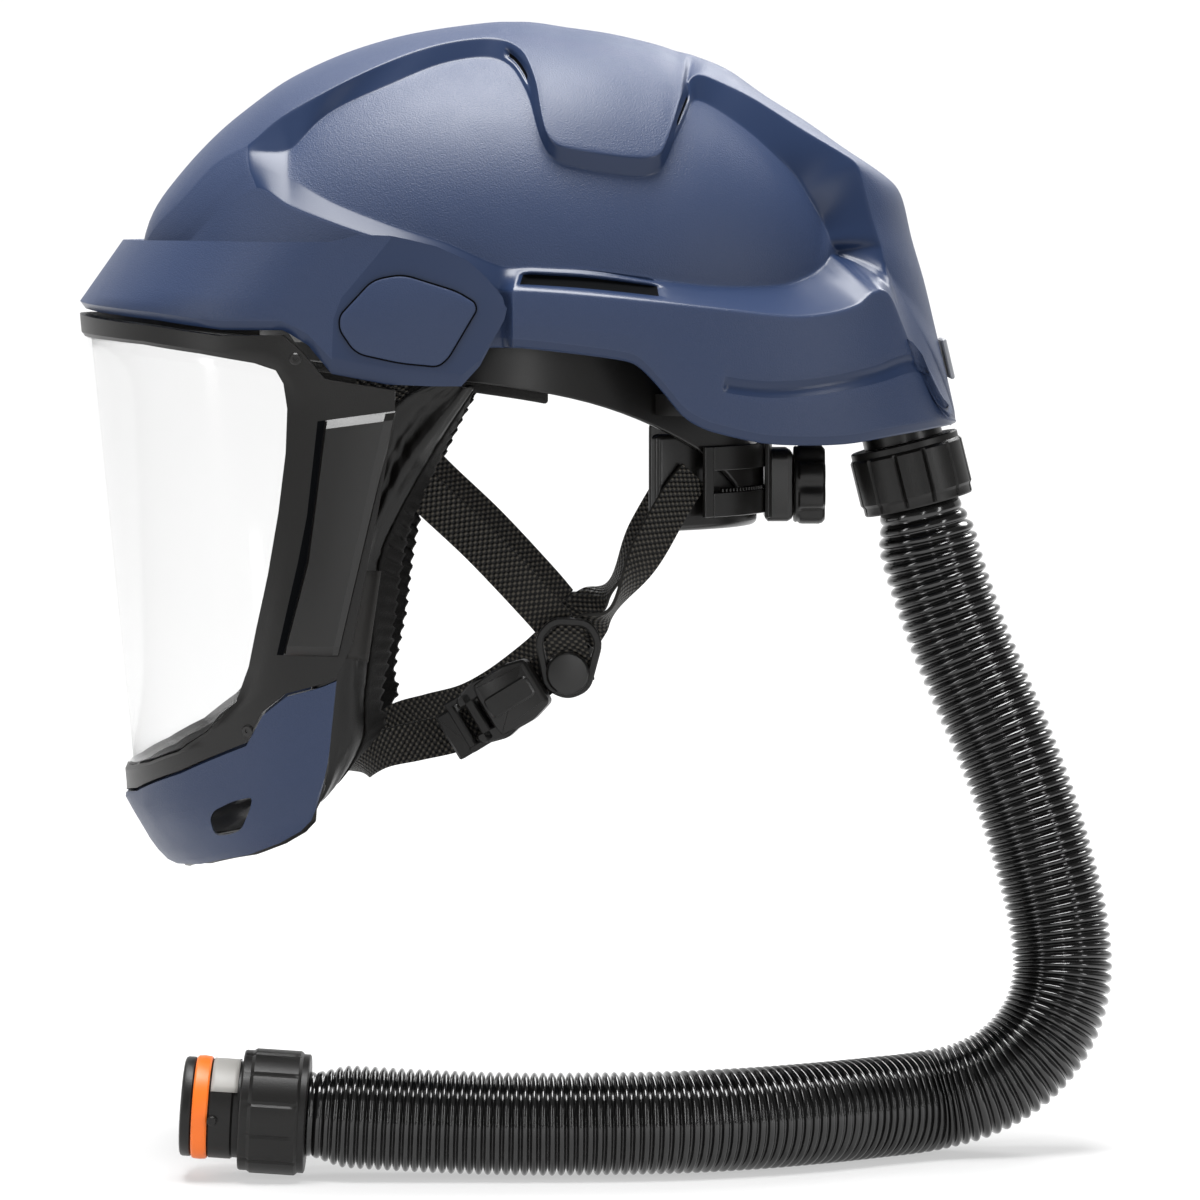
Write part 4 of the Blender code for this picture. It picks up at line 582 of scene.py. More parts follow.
def shellLines(station):
    # The named lines of the left half at a station, from the crest to the rim.
    s = shell
    topX, topZ, footX, footZ = smooth(s["step"], station)
    top, foot = at(topX, 0, topZ), at(footX, 0, footZ)
    crest, low, band, rim = [at(p[0], 0, p[1]) for p in
                             (smooth(s[key], station) for key in ("crest", "panelFoot", "bandTop", "rim"))]
    inPanel = min(max(station - 4, 0.0), max(34 - station, 0.0), 1.0)
    proud = s["proud"] * (1 - inPanel)
    ridge = smooth(s["ridge"], max(station, 24))[0] * halfWidth
    top.y = -blend(domeHalf(top.x, top.z, s["proud"]), ridge, ease(23, 24, station))
    dip = s["recess"] * inPanel * (1 - ease(31.0, 32.8, station))
    if station > 33:
        before = shellLines(33.0)
        foot.y = blend(before[2].y, top.y - s["flare"], min(station - 33, 1.0))
        low.y = blend(before[3].y, top.y - 2 * s["flare"], min(station - 33, 1.0))
    else:
        foot.y = -domeHalf(foot.x, foot.z, proud - dip)
        low.y = -domeHalf(low.x, low.z, proud)
    arm = 1 - min(max(station - 10, 0.0), 1.0)
    band.y = -blend(planHalf(band.x, s["bandHalf"], s["bandRear"]), domeHalf(band.x, band.z, s["proud"]), arm)
    rim.y = -blend(planHalf(rim.x, s["bandHalf"], s["rimRear"]), planHalf(rim.x, s["armHalf"], s["rimRear"]), arm)
    if station > 34:
        band.y = blend(band.y, low.y - s["flare"], station - 34)
    tail = ease(*s["tail"], station)
    band.z -= s["tailDrop"] * tail * (1 - ease(35, 36, station))
    for line, share in ((foot, 0.33), (low, 0.67)):
        line.xyz = line.lerp(top.lerp(band, share), tail)
    return crest, top, foot, low, band, rim, proud, dip, arm


def spaced(count, near):
    # Shares from 0 to 1 with one extra row close to each end.
    return [0.0] + [near + (1 - 2 * near) * i / (count - 1) for i in range(count)]


def within(low, high, rise, fall, station):
    # 1 between two stations, eased in after the first and out before the second.
    return ease(low, low + rise, station) * (1 - ease(high - fall, high, station))


def shellColumn(station):
    s = shell
    crest, top, foot, low, band, rim, proud, dip, arm = shellLines(station)
    reach = s["domeLength"] * helmetLength + s["proud"]
    along = min(0.94, abs(crest.x - s["domeCentre"][0] * helmetLength) / reach)
    around = s["domeWidth"] * halfWidth * math.sqrt(1.0 - along * along)
    bend = math.asin(min(0.94, -top.y / max(around, -top.y, 1e-6)))
    points, kinds = [], []

    def near(a, b):
        return min(0.3, s["support"] / max((a - b).length, 0.0001))

    edge = near(crest, top)
    for t in [i / 8 * (1 - edge) for i in range(9)]:
        share = (1.0 - math.cos(t * bend)) / (1.0 - math.cos(bend)) if bend > 1e-4 else t
        point = crest.lerp(top, share)
        point.y = top.y * (math.sin(t * bend) / math.sin(bend) if bend > 1e-4 else t)
        points.append(point)
        kinds.append("crown")
    slit = max(within(a, b, 0.2, 0.2, station) for a, b in s["vents"])
    edge = near(top, foot)
    for t in (0.0, edge, *s["stepRows"], 1 - edge):
        point = top.lerp(foot, t)
        if 0.4 < t < 0.7:
            point.y += s["ventDepth"] * slit
        points.append(point)
        kinds.append("vent" if t == s["stepRows"][1] else "step")
    for t in spaced(7, near(foot, low)):
        point = foot.lerp(low, t)
        if station <= 33:
            point.y = -domeHalf(point.x, point.z, proud - dip * (1 - t))
        points.append(point)
        kinds.append("panel")
    start, end, depth = s["slot"]
    sink = depth * within(start, end, 0.3, 0.15, station)
    # The stretch of the slot that is painted with shade sinks a little deeper too.
    start, end, depth = s["slotDark"]
    sink += depth * within(start, end, 0.2, 0.15, station)
    edge = near(low, band)
    for t in (0.0, edge, *s["ledgeRows"], 1 - edge):
        point = low.lerp(band, t)
        if 0.28 < t < 0.76:
            point.y += sink
        points.append(point)
        kinds.append("slot" if 0.28 < t < 0.73 else "ledge")
    start, end, depth = s["groove"]
    groove = depth * within(start, end, 0.12, 0.8, station)
    edgeRow = min(0.4, s["chamfer"] / max((band - rim).length, 0.0001))
    swell = s["swell"] * (1 - arm)
    line = blend(*s["grooveLine"], ease(24, 30, station))
    for t in (0.0, near(band, rim), 0.16, 0.34, line - 0.036, line - 0.022, line + 0.022, line + 0.036, 0.78):
        kind = "stripe" if abs(t - line) < 0.04 and t < line + 0.03 else "band"
        t = min(t, 1 - edgeRow - 0.02)
        point = band.lerp(rim, t)
        point.y -= swell * math.sin(math.pi * t)
        if abs(t - line) < 0.03:
            point.y += groove
        points.append(point)
        kinds.append(kind)
    for t, kind in ((1 - edgeRow - 0.01, "band"), (1 - edgeRow, "chamfer"), (1 - 0.5 * edgeRow, "chamfer"),
                    (1.0, "chamfer")):
        point = band.lerp(rim, t)
        point.y -= swell * math.sin(math.pi * t)
        inward = s["chamferIn"] * ease(1 - edgeRow, 1.0, t)
        point.y += inward if point.y < -inward else 0.0
        points.append(point)
        kinds.append(kind)
    return points, kinds


def makeShell():
    s = shell
    columns, kinds = [], []
    count = s["last"] * s["steps"]
    stations = [i / s["steps"] for i in range(count + 1)]
    wide = s["foldWidth"]
    for key in s["folds"]:  # an extra column on each side keeps a fold crisp
        stations = [t for t in stations if abs(t - key) > s["foldClear"] or t == key] + [key - wide, key + wide]
    stations = sorted(set(stations))
    for station in stations:
        points, kinds = shellColumn(station)
        for point in points:
            point.y = min(point.y, 0.0) if 0 < station < s["last"] else 0.0
        columns.append(points)

    def pick(i, j):  # 0 matt, 1 polished, 2 shadow
        station = (stations[i] + stations[i + 1]) / 2
        kind = kinds[j]
        if kind == "panel" and (4 < station < 5 or 33 < station < 34.1):
            return 1
        # Painted shade: the slot's dark stretch and the vent slits take index 2, the near-black shadow_gap material.
        if kind == "slot" and s["slotDark"][0] < station < s["slotDark"][1]:
            return 2
        if kind == "vent" and any(a + 0.1 < station < b - 0.1 for a, b in s["vents"]):
            return 2
        if kind in ("step", "vent", "ledge", "slot") and 4 < station < 34:
            return 1
        if kind == "chamfer" and station > 10 or kind == "stripe" and station > s["groove"][0]:
            return 1
        return 0

    made = gridObject("helmet_shell", columns, ["blueMatt", "blueGloss", "gap"], pick=pick)
    mirrorAcross(made)
    addModifier(made, "SUBSURF", levels=1, render_levels=1)
    wall(made, s["wall"], -1.0, False)
    settle(made, "helmet", ["shell"])


makeShell()
print("shell made")

# The visor's own surface: wrap 0 is the middle, 1 where the side begins.
visor = {
    "front": ((-0.874, -0.399), (-0.846, -0.422), (-0.791, -0.453), (-0.779, -0.451), (-0.228, -0.501),
              (-0.209, -0.502), (-0.135, -0.451)),
    "half": ((-0.874, 0.830), (-0.779, 0.925), (-0.561, 0.981), (-0.228, 1.0), (-0.209, 1.0), (-0.135, 0.981)),
    "depth": 0.0850,
    "brow": (
        (0, 0.00, -0.136, 0.00, -0.215), (1, 0.20, -0.136, 0.20, -0.217), (2, 0.40, -0.136, 0.40, -0.221),
        (3, 0.60, -0.136, 0.59, -0.226), (4, 0.80, -0.137, 0.81, -0.236), (5, 1.00, -0.137, 0.99, -0.236),
        (6, 1.12, -0.129, 1.09, -0.253), (7, 1.26, -0.130, 1.18, -0.285), (8, 1.48, -0.142, 1.42, -0.297),
        (9, 1.66, -0.158, 1.61, -0.299), (10, 1.80, -0.178, 1.74, -0.299), (11, 1.92, -0.198, 1.83, -0.276),
        (12, 1.97, -0.211, 1.956, -0.224),
    ),
    "frame": (
        (0, 0.00, -0.248, 0.00, -0.2215), (1, 0.20, -0.249, 0.20, -0.2235), (2, 0.38, -0.251, 0.40, -0.2275),
        (3, 0.54, -0.254, 0.59, -0.2325), (4, 0.74, -0.263, 0.81, -0.2425), (5, 0.90, -0.273, 0.99, -0.2415),
        (6, 0.96, -0.281, 1.06, -0.2595), (7, 0.978, -0.296, 1.15, -0.2905), (8, 0.982, -0.324, 1.45, -0.3035),
        (9, 0.965, -0.374, 1.44, -0.330), (10, 0.927, -0.442, 1.34, -0.426), (11, 0.879, -0.512, 1.24, -0.515),
        (12, 0.829, -0.573, 1.155, -0.590), (13, 0.794, -0.617, 1.07, -0.628), (14, 0.743, -0.658, 0.90, -0.646),
        (15, 0.636, -0.694, 0.825, -0.668), (16, 0.511, -0.721, 0.765, -0.704), (17, 0.35, -0.739, 0.52, -0.742),
        (18, 0.18, -0.750, 0.26, -0.772), (19, 0.00, -0.753, 0.00, -0.786),
    ),
    "chin": ((13, 0.978, -0.750), (13.5, 0.935, -0.794), (14, 0.885, -0.807), (15, 0.80, -0.822),
             (16, 0.67, -0.839), (17, 0.42, -0.859), (18, 0.20, -0.868), (19, 0.00, -0.872)),
    "vent": ((-0.341, -0.796), (-0.336, -0.785), (-0.313, -0.772), (-0.291, -0.766), (-0.294, -0.780),
             (-0.305, -0.806), (-0.318, -0.813), (-0.336, -0.816)),
    "panel": ((1.10, -0.338), (1.45, -0.326), (0.885, -0.602), (1.09, -0.604)),
    "padAcross": ((0.0, 0.3), (0.02, 0.4), (0.085, 0.4), (0.095, 0.6), (0.125, 2.9), (0.35, 3.1), (0.65, 3.1),
                  (0.86, 2.9), (0.98, 1.3), (1.0, 0.3)),
    "padDown": ((0.0, 0.3), (0.006, 0.8), (0.036, 3.0), (0.2, 3.1), (0.4, 3.1), (0.6, 3.1), (0.8, 3.1), (0.955, 2.9),
                (0.992, 1.0), (1.0, 0.3)),
    "cover": ((-0.191, -0.220), (-0.155, -0.180), (-0.123, -0.174), (-0.064, -0.193), (-0.045, -0.205),
              (-0.043, -0.213), (-0.074, -0.267), (-0.085, -0.276), (-0.126, -0.272), (-0.174, -0.261),
              (-0.191, -0.235)),
    "rivets": ((1.03, -0.268), (0.775, -0.690)),
    "browWall": 0.0030, "browLip": 0.0022, "frameWall": 0.0040, "frameDish": 0.0011, "lensWall": 0.0018,
    "lensInset": 0.0018, "lensReach": 0.0008, "lensAcross": 28, "lensDown": 24, "chinWall": 0.0030,
    "chinLip": 0.0015, "chinGap": 0.0012, "baseGap": 0.0018, "baseWall": 0.0020, "probe": (0.02, 0.006),
}


def visorSkin(wrap, z):
    front = between(visor["front"], z)[0] * helmetLength
    half = between(visor["half"], z)[0] * halfWidth
    turn = min(wrap, 1.0) * math.pi / 2
    x = front + visor["depth"] * (1.0 - math.cos(turn) + max(0.0, wrap - 1.0))
    return Vector((x, -half * math.sin(turn), z * helmetHeight))


def visorNormal(wrap, z):
    stepWrap, stepZ = visor["probe"]
    across = visorSkin(wrap + stepWrap, z) - visorSkin(wrap - stepWrap, z)
    up = visorSkin(wrap, z + stepZ) - visorSkin(wrap, z - stepZ)
    return across.cross(up).normalized()


def visorPoint(wrap, z, inset=0.0):
    return visorSkin(wrap, z) - visorNormal(wrap, z) * inset


def stripColumns(table, steps, shares, inset=0.0, shift=None):
    # Columns over the visor's surface between a table's two edges. shift sinks points below it.
    columns = []
    for i in range(int(table[-1][0] * steps) + 1):
        wrapA, zA, wrapB, zB = between(table, i / steps)
        column = []
        for t in shares:
            depth = inset + (shift(i / steps, t) if shift else 0.0)
            column.append(visorPoint(blend(wrapA, wrapB, t), blend(zA, zB, t), depth))
        columns.append(column)
    return columns


def chinRows(topGap):
    rows = []
    last = visor["chin"][-1][0]
    for step in range(2 * (last - visor["chin"][0][0]) + 1):
        station = last - step / 2
        edge = between(visor["frame"], station)
        wrap, z = between(visor["chin"], station)
        rows.append((step, edge[2], edge[3] - topGap / helmetHeight, wrap, z))
    return tuple(rows)


def browShift(station, t):
    # A chamfered lip along the lower edge, which fades out towards the hinge.
    return visor["browLip"] * ease(0.90, 1.0, t) * (1 - ease(10, 12, station))


def makeBrow():
    columns = stripColumns(visor["brow"], 5, (0.0, 0.03, 0.15, 0.3, 0.45, 0.6, 0.75, 0.86, 0.895, 1.0), 0.0,
                           browShift)
    made = gridObject("brow_visor_carrier", columns, ["blueMatt", "blueGloss"],
                      pick=lambda i, j: 1 if j >= 8 or i > 34 else 0)
    mirrorAcross(made)
    wall(made, visor["browWall"])
    soften(made, 0.0008)
    settle(made, "visor", ["brow_carrier"])


def makeFrame():
    rows = tuple((r[0], r[3], r[4], r[1], r[2]) for r in visor["frame"])  # from the outer edge to the inner

    def dish(station, t):
        return visor["frameDish"] * ease(0.82, 0.97, t)

    columns = stripColumns(rows, 4, (0.0, 0.06, 0.3, 0.55, 0.8, 0.9, 1.0), 0.0, dish)
    made = gridObject("visor_bezel", columns, ["blackMatt"])
    mirrorAcross(made)
    wall(made, visor["frameWall"])
    soften(made, 0.0009)
    settle(made, "visor", ["visor_frame"])


def lensColumns():
    # A patch stretched between the four inner edges of the bezel.
    inner = [(r[1], r[2]) for r in visor["frame"]]
    top, rear, foot = inner[:8], inner[7:15], inner[14:][::-1]

    def along(points, t):
        return Vector(between([(i, *p) for i, p in enumerate(points)], t * (len(points) - 1)))

    columns = []
    for i in range(visor["lensAcross"] + 1):
        u = i / visor["lensAcross"]
        column = []
        for j in range(visor["lensDown"] + 1):
            v = j / visor["lensDown"]
            edges = along([inner[0], inner[-1]], v) * (1 - u) + along(rear, v) * u
            edges += along(top, u) * (1 - v) + along(foot, u) * v
            corners = Vector(inner[0]) * (1 - u) * (1 - v) + Vector(inner[7]) * u * (1 - v)
            corners += Vector(inner[-1]) * (1 - u) * v + Vector(inner[14]) * u * v
            wrap, z = edges - corners
            wrap += visor["lensReach"] / visor["depth"] * u
            z += visor["lensReach"] / helmetHeight * (1 - 2 * v)
            column.append(visorPoint(wrap, z, visor["lensInset"]))
        columns.append(column)
    return columns


def makeLens():
    made = gridObject("visor_lens", lensColumns(), ["clear"])
    mirrorAcross(made)
    wall(made, visor["lensWall"])
    settle(made, "visor", ["lens"])


def cornered(points, radius, count=5):
    # A closed outline with rounded corners, from its corner points.
    outline = []
    total = len(points)
    for i in range(total):
        here, before, after = Vector(points[i]), Vector(points[i - 1]), Vector(points[(i + 1) % total])
        a, b = (before - here), (after - here)
        reach = min(radius, 0.45 * a.length, 0.45 * b.length)
        start, end = here + a.normalized() * reach, here + b.normalized() * reach
        for k in range(count + 1):
            t = k / count
            outline.append(start.lerp(here, t).lerp(here.lerp(end, t), t))
    return outline


def outwardOf(outline):
    # The outward direction at each point of a closed outline (x, y).
    onward = outline[1:] + outline[:1]
    area = sum(a.x * b.y - b.x * a.y for a, b in zip(outline, onward))
    edges = [(onward[i] - outline[i - 1]).normalized() for i in range(len(outline))]
    return [Vector((edge.y, -edge.x)) * (1 if area > 0 else -1) for edge in edges]


def loft(name, outline, profile, skins, angle=30):
    # A plate from a closed outline (x, y) and (inset, height) pairs, closed at both ends.
    count = len(outline)
    ways = outwardOf(outline)
    form = bmesh.new()
    rings = []
    for inset, height in profile:
        rings.append([form.verts.new((*(here - way * inset), height)) for here, way in zip(outline, ways)])
    for low, high in zip(rings, rings[1:]):
        for i in range(count):
            k = (i + 1) % count
            form.faces.new((low[i], low[k], high[k], high[i]))
    form.faces.new(rings[0])
    form.faces.new(rings[-1])
    bmesh.ops.recalc_face_normals(form, faces=form.faces)
    mesh = bpy.data.meshes.new(name)
    form.to_mesh(mesh)
    form.free()
    return newObject(name, mesh, skins, angle)


def standOn(item, spot, right, out):
    # Local X to the right, local Z outward.
    up = out.cross(right).normalized()
    side = up.cross(out).normalized()
    matrix = Matrix((side, up, out.normalized())).transposed().to_4x4()
    item.matrix_world = Matrix.Translation(spot) @ matrix


def sideOutline(points, radius):
    return cornered([(x * helmetLength, z * helmetHeight) for x, z in points], radius)


def makeChin():
    columns = stripColumns(chinRows(visor["chinGap"]), 3, (0.0, 0.06, 0.25, 0.45, 0.65, 0.8, 0.93, 1.0), 0.0,
                           lambda station, t: visor["chinLip"] * ease(0.9, 1.0, t))
    made = gridObject("chin_guard", columns, ["blueMatt"])
    mirrorAcross(made)
    wall(made, visor["chinWall"])
    cutter = loft("chinVentCutter", sideOutline(visor["vent"], 0.003), ((0.0, -0.12), (0.0, 0.12)), ["gap"])
    standOn(cutter, Vector((0, 0, 0)), Vector((1, 0, 0)), Vector((0, -1, 0)))
    cutter.hide_render = cutter.hide_viewport = True
    addModifier(made, "BOOLEAN", object=cutter, operation="DIFFERENCE", solver="EXACT")
    soften(made, 0.0005, 2)
    settle(made, "visor", ["chin_cover"])
    lip = tuple((r[0], r[3], r[4] + 0.022, r[3], r[4] - 0.006) for r in chinRows(0.0))
    columns = stripColumns(lip, 3, (0.0, 0.3, 0.7, 1.0), visor["chinWall"] + visor["baseGap"])
    base = gridObject("chin_inner_base", columns, ["blackMatt"])
    mirrorAcross(base)
    wall(base, visor["baseWall"])
    settle(base, "visor", ["chin_base"])


def makeSidePads():
    # Raised pads on the bezel's sides, with painted shade in a dark strip along the front edge.
    topFront, topRear, footFront, footRear = [Vector(c) for c in visor["panel"]]
    for side, name in bothSides:
        columns = []
        for u, liftU in visor["padAcross"]:
            head, foot = topFront.lerp(topRear, u), footFront.lerp(footRear, u)
            column = []
            for v, liftV in visor["padDown"]:
                wrap, z = head.lerp(foot, v)
                point = visorPoint(wrap, z, -min(liftU, liftV) / 1000)
                point.y *= side
                column.append(point)
            columns.append(column if side > 0 else column[::-1])
        last = len(columns) - 2
        # The first columns take the near-black shadow_gap material: painted shade where the pad meets the bezel.
        pad = gridObject("side_pad_" + name, columns, ["blackSatin", "gap"],
                         pick=lambda i, j: 1 if (i if side > 0 else last - i) < 3 else 0)
        wall(pad, 0.0020, -1.0)
        soften(pad, 0.0004, 3, 18)
        settle(pad, "visor", ["side_panel_" + name])


def makeArmCovers():
    # The right cover is mirrored from +y, so it ends inside the left one: an open fault.
    outline = sideOutline(visor["cover"], 0.004)
    rivetProfile = [(0.0, 0.0), (0.0023, 0.0), (0.0023, 0.0003), (0.0018, 0.0007), (0.0008, 0.0007),
                    (0.0007, 0.0003), (0.0, 0.0003)]
    for side, name in bothSides:
        plate = loft("arm_cover_plate_" + name, outline,
                     ((0.0, -0.0006), (0.0, 0.0003), (0.0003, 0.0008), (0.0010, 0.0011)), ["blueMatt"])
        # A near-black plate a little wider than the cover, under it: a line of painted shade round the cover's edge.
        seamShadePlate = loft("arm_cover_seam_shade_" + name, outline, ((-0.0006, -0.0005), (-0.0006, 0.00012)), ["gap"])
        for item in (plate, seamShadePlate):
            standOn(item, Vector((0, -side * (halfWidth + 0.0001), 0)), Vector((1, 0, 0)), Vector((0, -1, 0)))
            if side < 0:
                item.data.transform(Matrix.Scale(-1, 4, Vector((0, 1, 0))) @ item.matrix_world)
                item.matrix_world = Matrix.Identity(4)
                item.data.flip_normals()
        settle(plate, "visor", ["arm_cover_" + name])
        settle(seamShadePlate, "visor", [])
        for number, (wrap, z) in enumerate(visor["rivets"], 1):
            out = visorNormal(wrap, z)
            spot = visorSkin(wrap, z) + out * 0.00005
            out.y *= side
            spot.y *= side
            rivet = lathe("bezel_rivet_%s_%d" % (name, number), rivetProfile, ["blackSatin"], 24)
            setAlong(rivet, spot, out)
            settle(rivet, "visor", ["rivet_%s_%d" % (name, number)])


makeBrow()
makeFrame()
makeLens()
makeChin()
makeSidePads()
makeArmCovers()
print("visor made")

# The face seal: fabric from the bezel to a gathered elastic edge.
seal = {
    "rows": (
        (0, 1.70, -0.298, -0.046, -0.300, -0.880, -0.052, -0.315, -0.820),
        (1, 1.55, -0.315, -0.090, -0.366, -0.860, -0.083, -0.372, -0.785),
        (2, 1.44, -0.345, -0.136, -0.440, -0.840, -0.119, -0.452, -0.755),
        (3, 1.30, -0.455, -0.163, -0.495, -0.840, -0.133, -0.511, -0.720),
        (4, 1.155, -0.585, -0.171, -0.588, -0.820, -0.143, -0.591, -0.690),
        (5, 1.06, -0.625, -0.176, -0.657, -0.800, -0.155, -0.659, -0.665),
        (6, 0.985, -0.700, -0.182, -0.712, -0.760, -0.153, -0.694, -0.630),
        (7, 0.935, -0.765, -0.205, -0.764, -0.715, -0.188, -0.736, -0.590),
        (8, 0.850, -0.790, -0.235, -0.792, -0.640, -0.232, -0.760, -0.480),
        (9, 0.580, -0.828, -0.275, -0.824, -0.460, -0.254, -0.785, -0.300),
        (10, 0.00, -0.850, -0.335, -0.848, 0.0, -0.272, -0.794, 0.0),
    ),
    "steps": 24, "folds": 0.0042, "crease": 0.0007, "inset": 0.0079, "insetSide": 0.0060, "tuck": 0.07,
    "wall": 0.0015, "elasticWall": 0.0012, "ruche": 0.0018, "pitch": 0.0049, "share": 0.4, "foldRow": 0.8,
    "overlap": 1.08, "clothRows": 14, "elasticRows": 8,
}


def makeSeal():
    s = seal
    cloth, band = [], []
    count = s["steps"] * s["rows"][-1][0]
    walked, before = 0.0, None
    for i in range(count + 1):
        station = i / s["steps"]
        wrap, z, foldX, foldZ, foldY, edgeX, edgeZ, edgeY = smooth(s["rows"], station)
        behind = 1 - ease(5.0, 7.0, station)
        attach = visorPoint(wrap - s["tuck"] * behind, z, blend(s["inset"], s["insetSide"], behind))
        fold, edge = at(foldX, foldY, foldZ), at(edgeX, edgeY, edgeZ)
        for point in (attach, fold, edge):
            point.y = min(point.y, 0.0)
        turn = fold.lerp(edge, s["share"])
        if before is not None:
            walked += (edge - before).length
        before = edge
        column = []
        for j in range(s["clothRows"] + 1):
            t = j / s["clothRows"]
            if t < s["foldRow"]:
                point = attach.lerp(fold, t / s["foldRow"])
            else:
                point = fold.lerp(turn, (t - s["foldRow"]) / (1 - s["foldRow"]) * s["overlap"])
            ripple = noise.noise(Vector((walked * 22, t * 5.5, 3.0))) * s["folds"]
            ripple += noise.noise(Vector((walked * 150, t * 5, 7.0))) * s["crease"]
            swell = math.sin(math.pi * t)
            point = point + Vector((0.0, ripple * swell, ripple * 0.4 * swell))
            if i == count:
                point.y = 0.0
            column.append(point)
        cloth.append(column)
        onward = (edge - turn).normalized()
        wave = math.sin(2 * math.pi * walked / s["pitch"])
        ruche = []
        for j in range(s["elasticRows"] + 1):
            t = j / s["elasticRows"]
            point = (turn - onward * 0.0004).lerp(edge + onward * 0.002, t)
            swell = s["ruche"] * wave * (0.5 + 0.5 * t) * ease(0.0, 0.25, t)
            swell += noise.noise(Vector((walked * 300, t * 3, 1.0))) * s["crease"]
            point = point + Vector((0.35 * swell, 0.9 * swell, 0.2 * swell)) * (0.0 if i == count else 1.0)
            ruche.append(point)
        band.append(ruche)
    fabric = gridObject("face_seal_fabric", cloth, ["sealCloth"])
    mirrorAcross(fabric)
    wall(fabric, s["wall"], 1.0, False)
    settle(fabric, "visor", ["face_seal"])
    elastic = gridObject("face_seal_elastic", band, ["elastic"])
    mirrorAcross(elastic)
    wall(elastic, s["elasticWall"], 0.0, False)
    settle(elastic, "visor", ["seal_elastic"])
    return fabric, elastic


tag = {"corners": ((-0.1704, -0.507), (-0.1484, -0.508), (-0.1627, -0.611), (-0.1890, -0.6066)), "y": -0.918,
       "wall": 0.0007}


def makeTag():
    topLeft, topRight, footRight, footLeft = [at(x, tag["y"], z) for x, z in tag["corners"]]
    columns = []
    for i in range(7):
        head, foot = topLeft.lerp(topRight, i / 6), footLeft.lerp(footRight, i / 6)
        column = []
        for j in range(13):
            point = head.lerp(foot, j / 12)
            point.y -= 0.0012 * math.sin(math.pi * j / 12) + 0.0006 * math.sin(2 * math.pi * i / 6 + 1.0)
            column.append(point)
        columns.append(column)
    made = gridObject("seal_tag", columns, ["label"])
    wall(made, tag["wall"], 0.0)
    settle(made, "visor", [])


fabricPiece, elasticPiece = makeSeal()
makeTag()


def areaOf(item):
    # Half the surface of a walled sheet: the area of one of its faces.
    shown = item.evaluated_get(bpy.context.evaluated_depsgraph_get()).to_mesh()
    return sum(face.area for face in shown.polygons) / 2


fabricArea, elasticArea = areaOf(fabricPiece), areaOf(elasticPiece)
print("seal made, %.4f m2 of fabric" % fabricArea)

# Straps: x, z, y as shares, and the way the webbing's width points.
straps = {
    "front": (
        (-0.160, -0.250, -0.6580, 1.0, 0.0, -0.49), (-0.157, -0.300, -0.670, 1.0, 0.15, -0.3),
        (-0.154, -0.338, -0.684, 1.0, 0.4, -0.1), (-0.138, -0.376, -0.685, 1.0, 0.7, 0.0),
        (-0.109, -0.416, -0.680, 0.69, 0.72, 0.0), (-0.041, -0.483, -0.665, 0.69, 0.72, 0.0),
        (0.020, -0.550, -0.648, 0.69, 0.72, 0.0), (0.045, -0.580, -0.6455, 0.69, 0.72, 0.0),
    ),
    "rear": (
        (0.197, -0.405, -0.5130, 0.61, -0.60, 0.52), (0.176, -0.4345, -0.5650, 0.66, -0.62, 0.42),
        (0.145, -0.490, -0.630, 0.68, -0.58, 0.45), (0.1070, -0.5560, -0.652, 0.12, -0.12, 0.98),
        (0.0840, -0.5750, -0.636, 0.60, -0.52, 0.60), (0.068, -0.590, -0.6300, 0.80, -0.60, 0.0),
    ),
    "chin": (
        (0.040, -0.622, -0.6455, 0.62, -0.78, 0.0), (0.012, -0.648, -0.635, 0.62, -0.78, 0.0),
        (-0.030, -0.680, -0.610, 0.55, -0.83, 0.0), (-0.068, -0.700, -0.585, 0.25, -0.97, 0.0),
        (-0.110, -0.711, -0.565, 0.15, -0.98, 0.05), (-0.150, -0.722, -0.520, 0.20, -0.95, 0.25),
        (-0.176, -0.742, -0.420, 0.45, -0.70, 0.55), (-0.188, -0.755, -0.230, 0.93, -0.15, 0.15),
        (-0.190, -0.758, 0.0, 1.0, 0.0, 0.0),
    ),
    "turned": (
        (0.0510, -0.5745, -0.672, 1.0, 0.0, 0.0), (0.0535, -0.592, -0.679, 1.0, 0.04, 0.0),
        (0.0600, -0.615, -0.678, 1.0, 0.10, 0.0), (0.0640, -0.641, -0.672, 1.0, 0.14, 0.0),
    ),
    "width": 0.0150, "wall": 0.0014, "steps": 10, "across": 4,
}


def flipped(lines):
    return [(Vector((p.x, -p.y, p.z)), Vector((w.x, -w.y, w.z))) for p, w in lines]


def ribbon(name, path, nodes, mirrored=False, whole=False):
    # Webbing of one width along a path. whole carries it on over the middle plane.
    s = straps
    rows = [(i, *row) for i, row in enumerate(path)]
    lines = []
    for i in range((len(path) - 1) * s["steps"] + 1):
        x, z, y, wideX, wideZ, wideY = smooth(rows, i / s["steps"])
        lines.append((at(x, y, z), Vector((wideX, wideY, wideZ)).normalized() * s["width"] / 2))
    if whole:
        lines += flipped(reversed(lines[:-1]))
    if mirrored:
        lines = flipped(lines)
    walked = [0.0]
    for a, b in zip(lines, lines[1:]):
        walked.append(walked[-1] + (b[0] - a[0]).length)
    columns = [[p + w * (2 * j / s["across"] - 1) for j in range(s["across"] + 1)] for p, w in lines]
    made = gridObject(name, columns, ["webbing"], uv=lambda i, j: (s["width"] * j / s["across"], walked[i]))
    wall(made, s["wall"], 0.0)
    soften(made, 0.0004, 2, 60)
    settle(made, "helmet", nodes)


def closedBar(name, outline, section, skins):
    # A closed bar round an outline (x, y); section holds (outward, height) pairs.
    columns = [[Vector((here.x + way.x * a, here.y + way.y * a, h)) for a, h in section]
               for here, way in zip(outline, outwardOf(outline))]
    made = gridObject(name, columns, skins, True, True, 35)
    faceOutward(made)
    return made


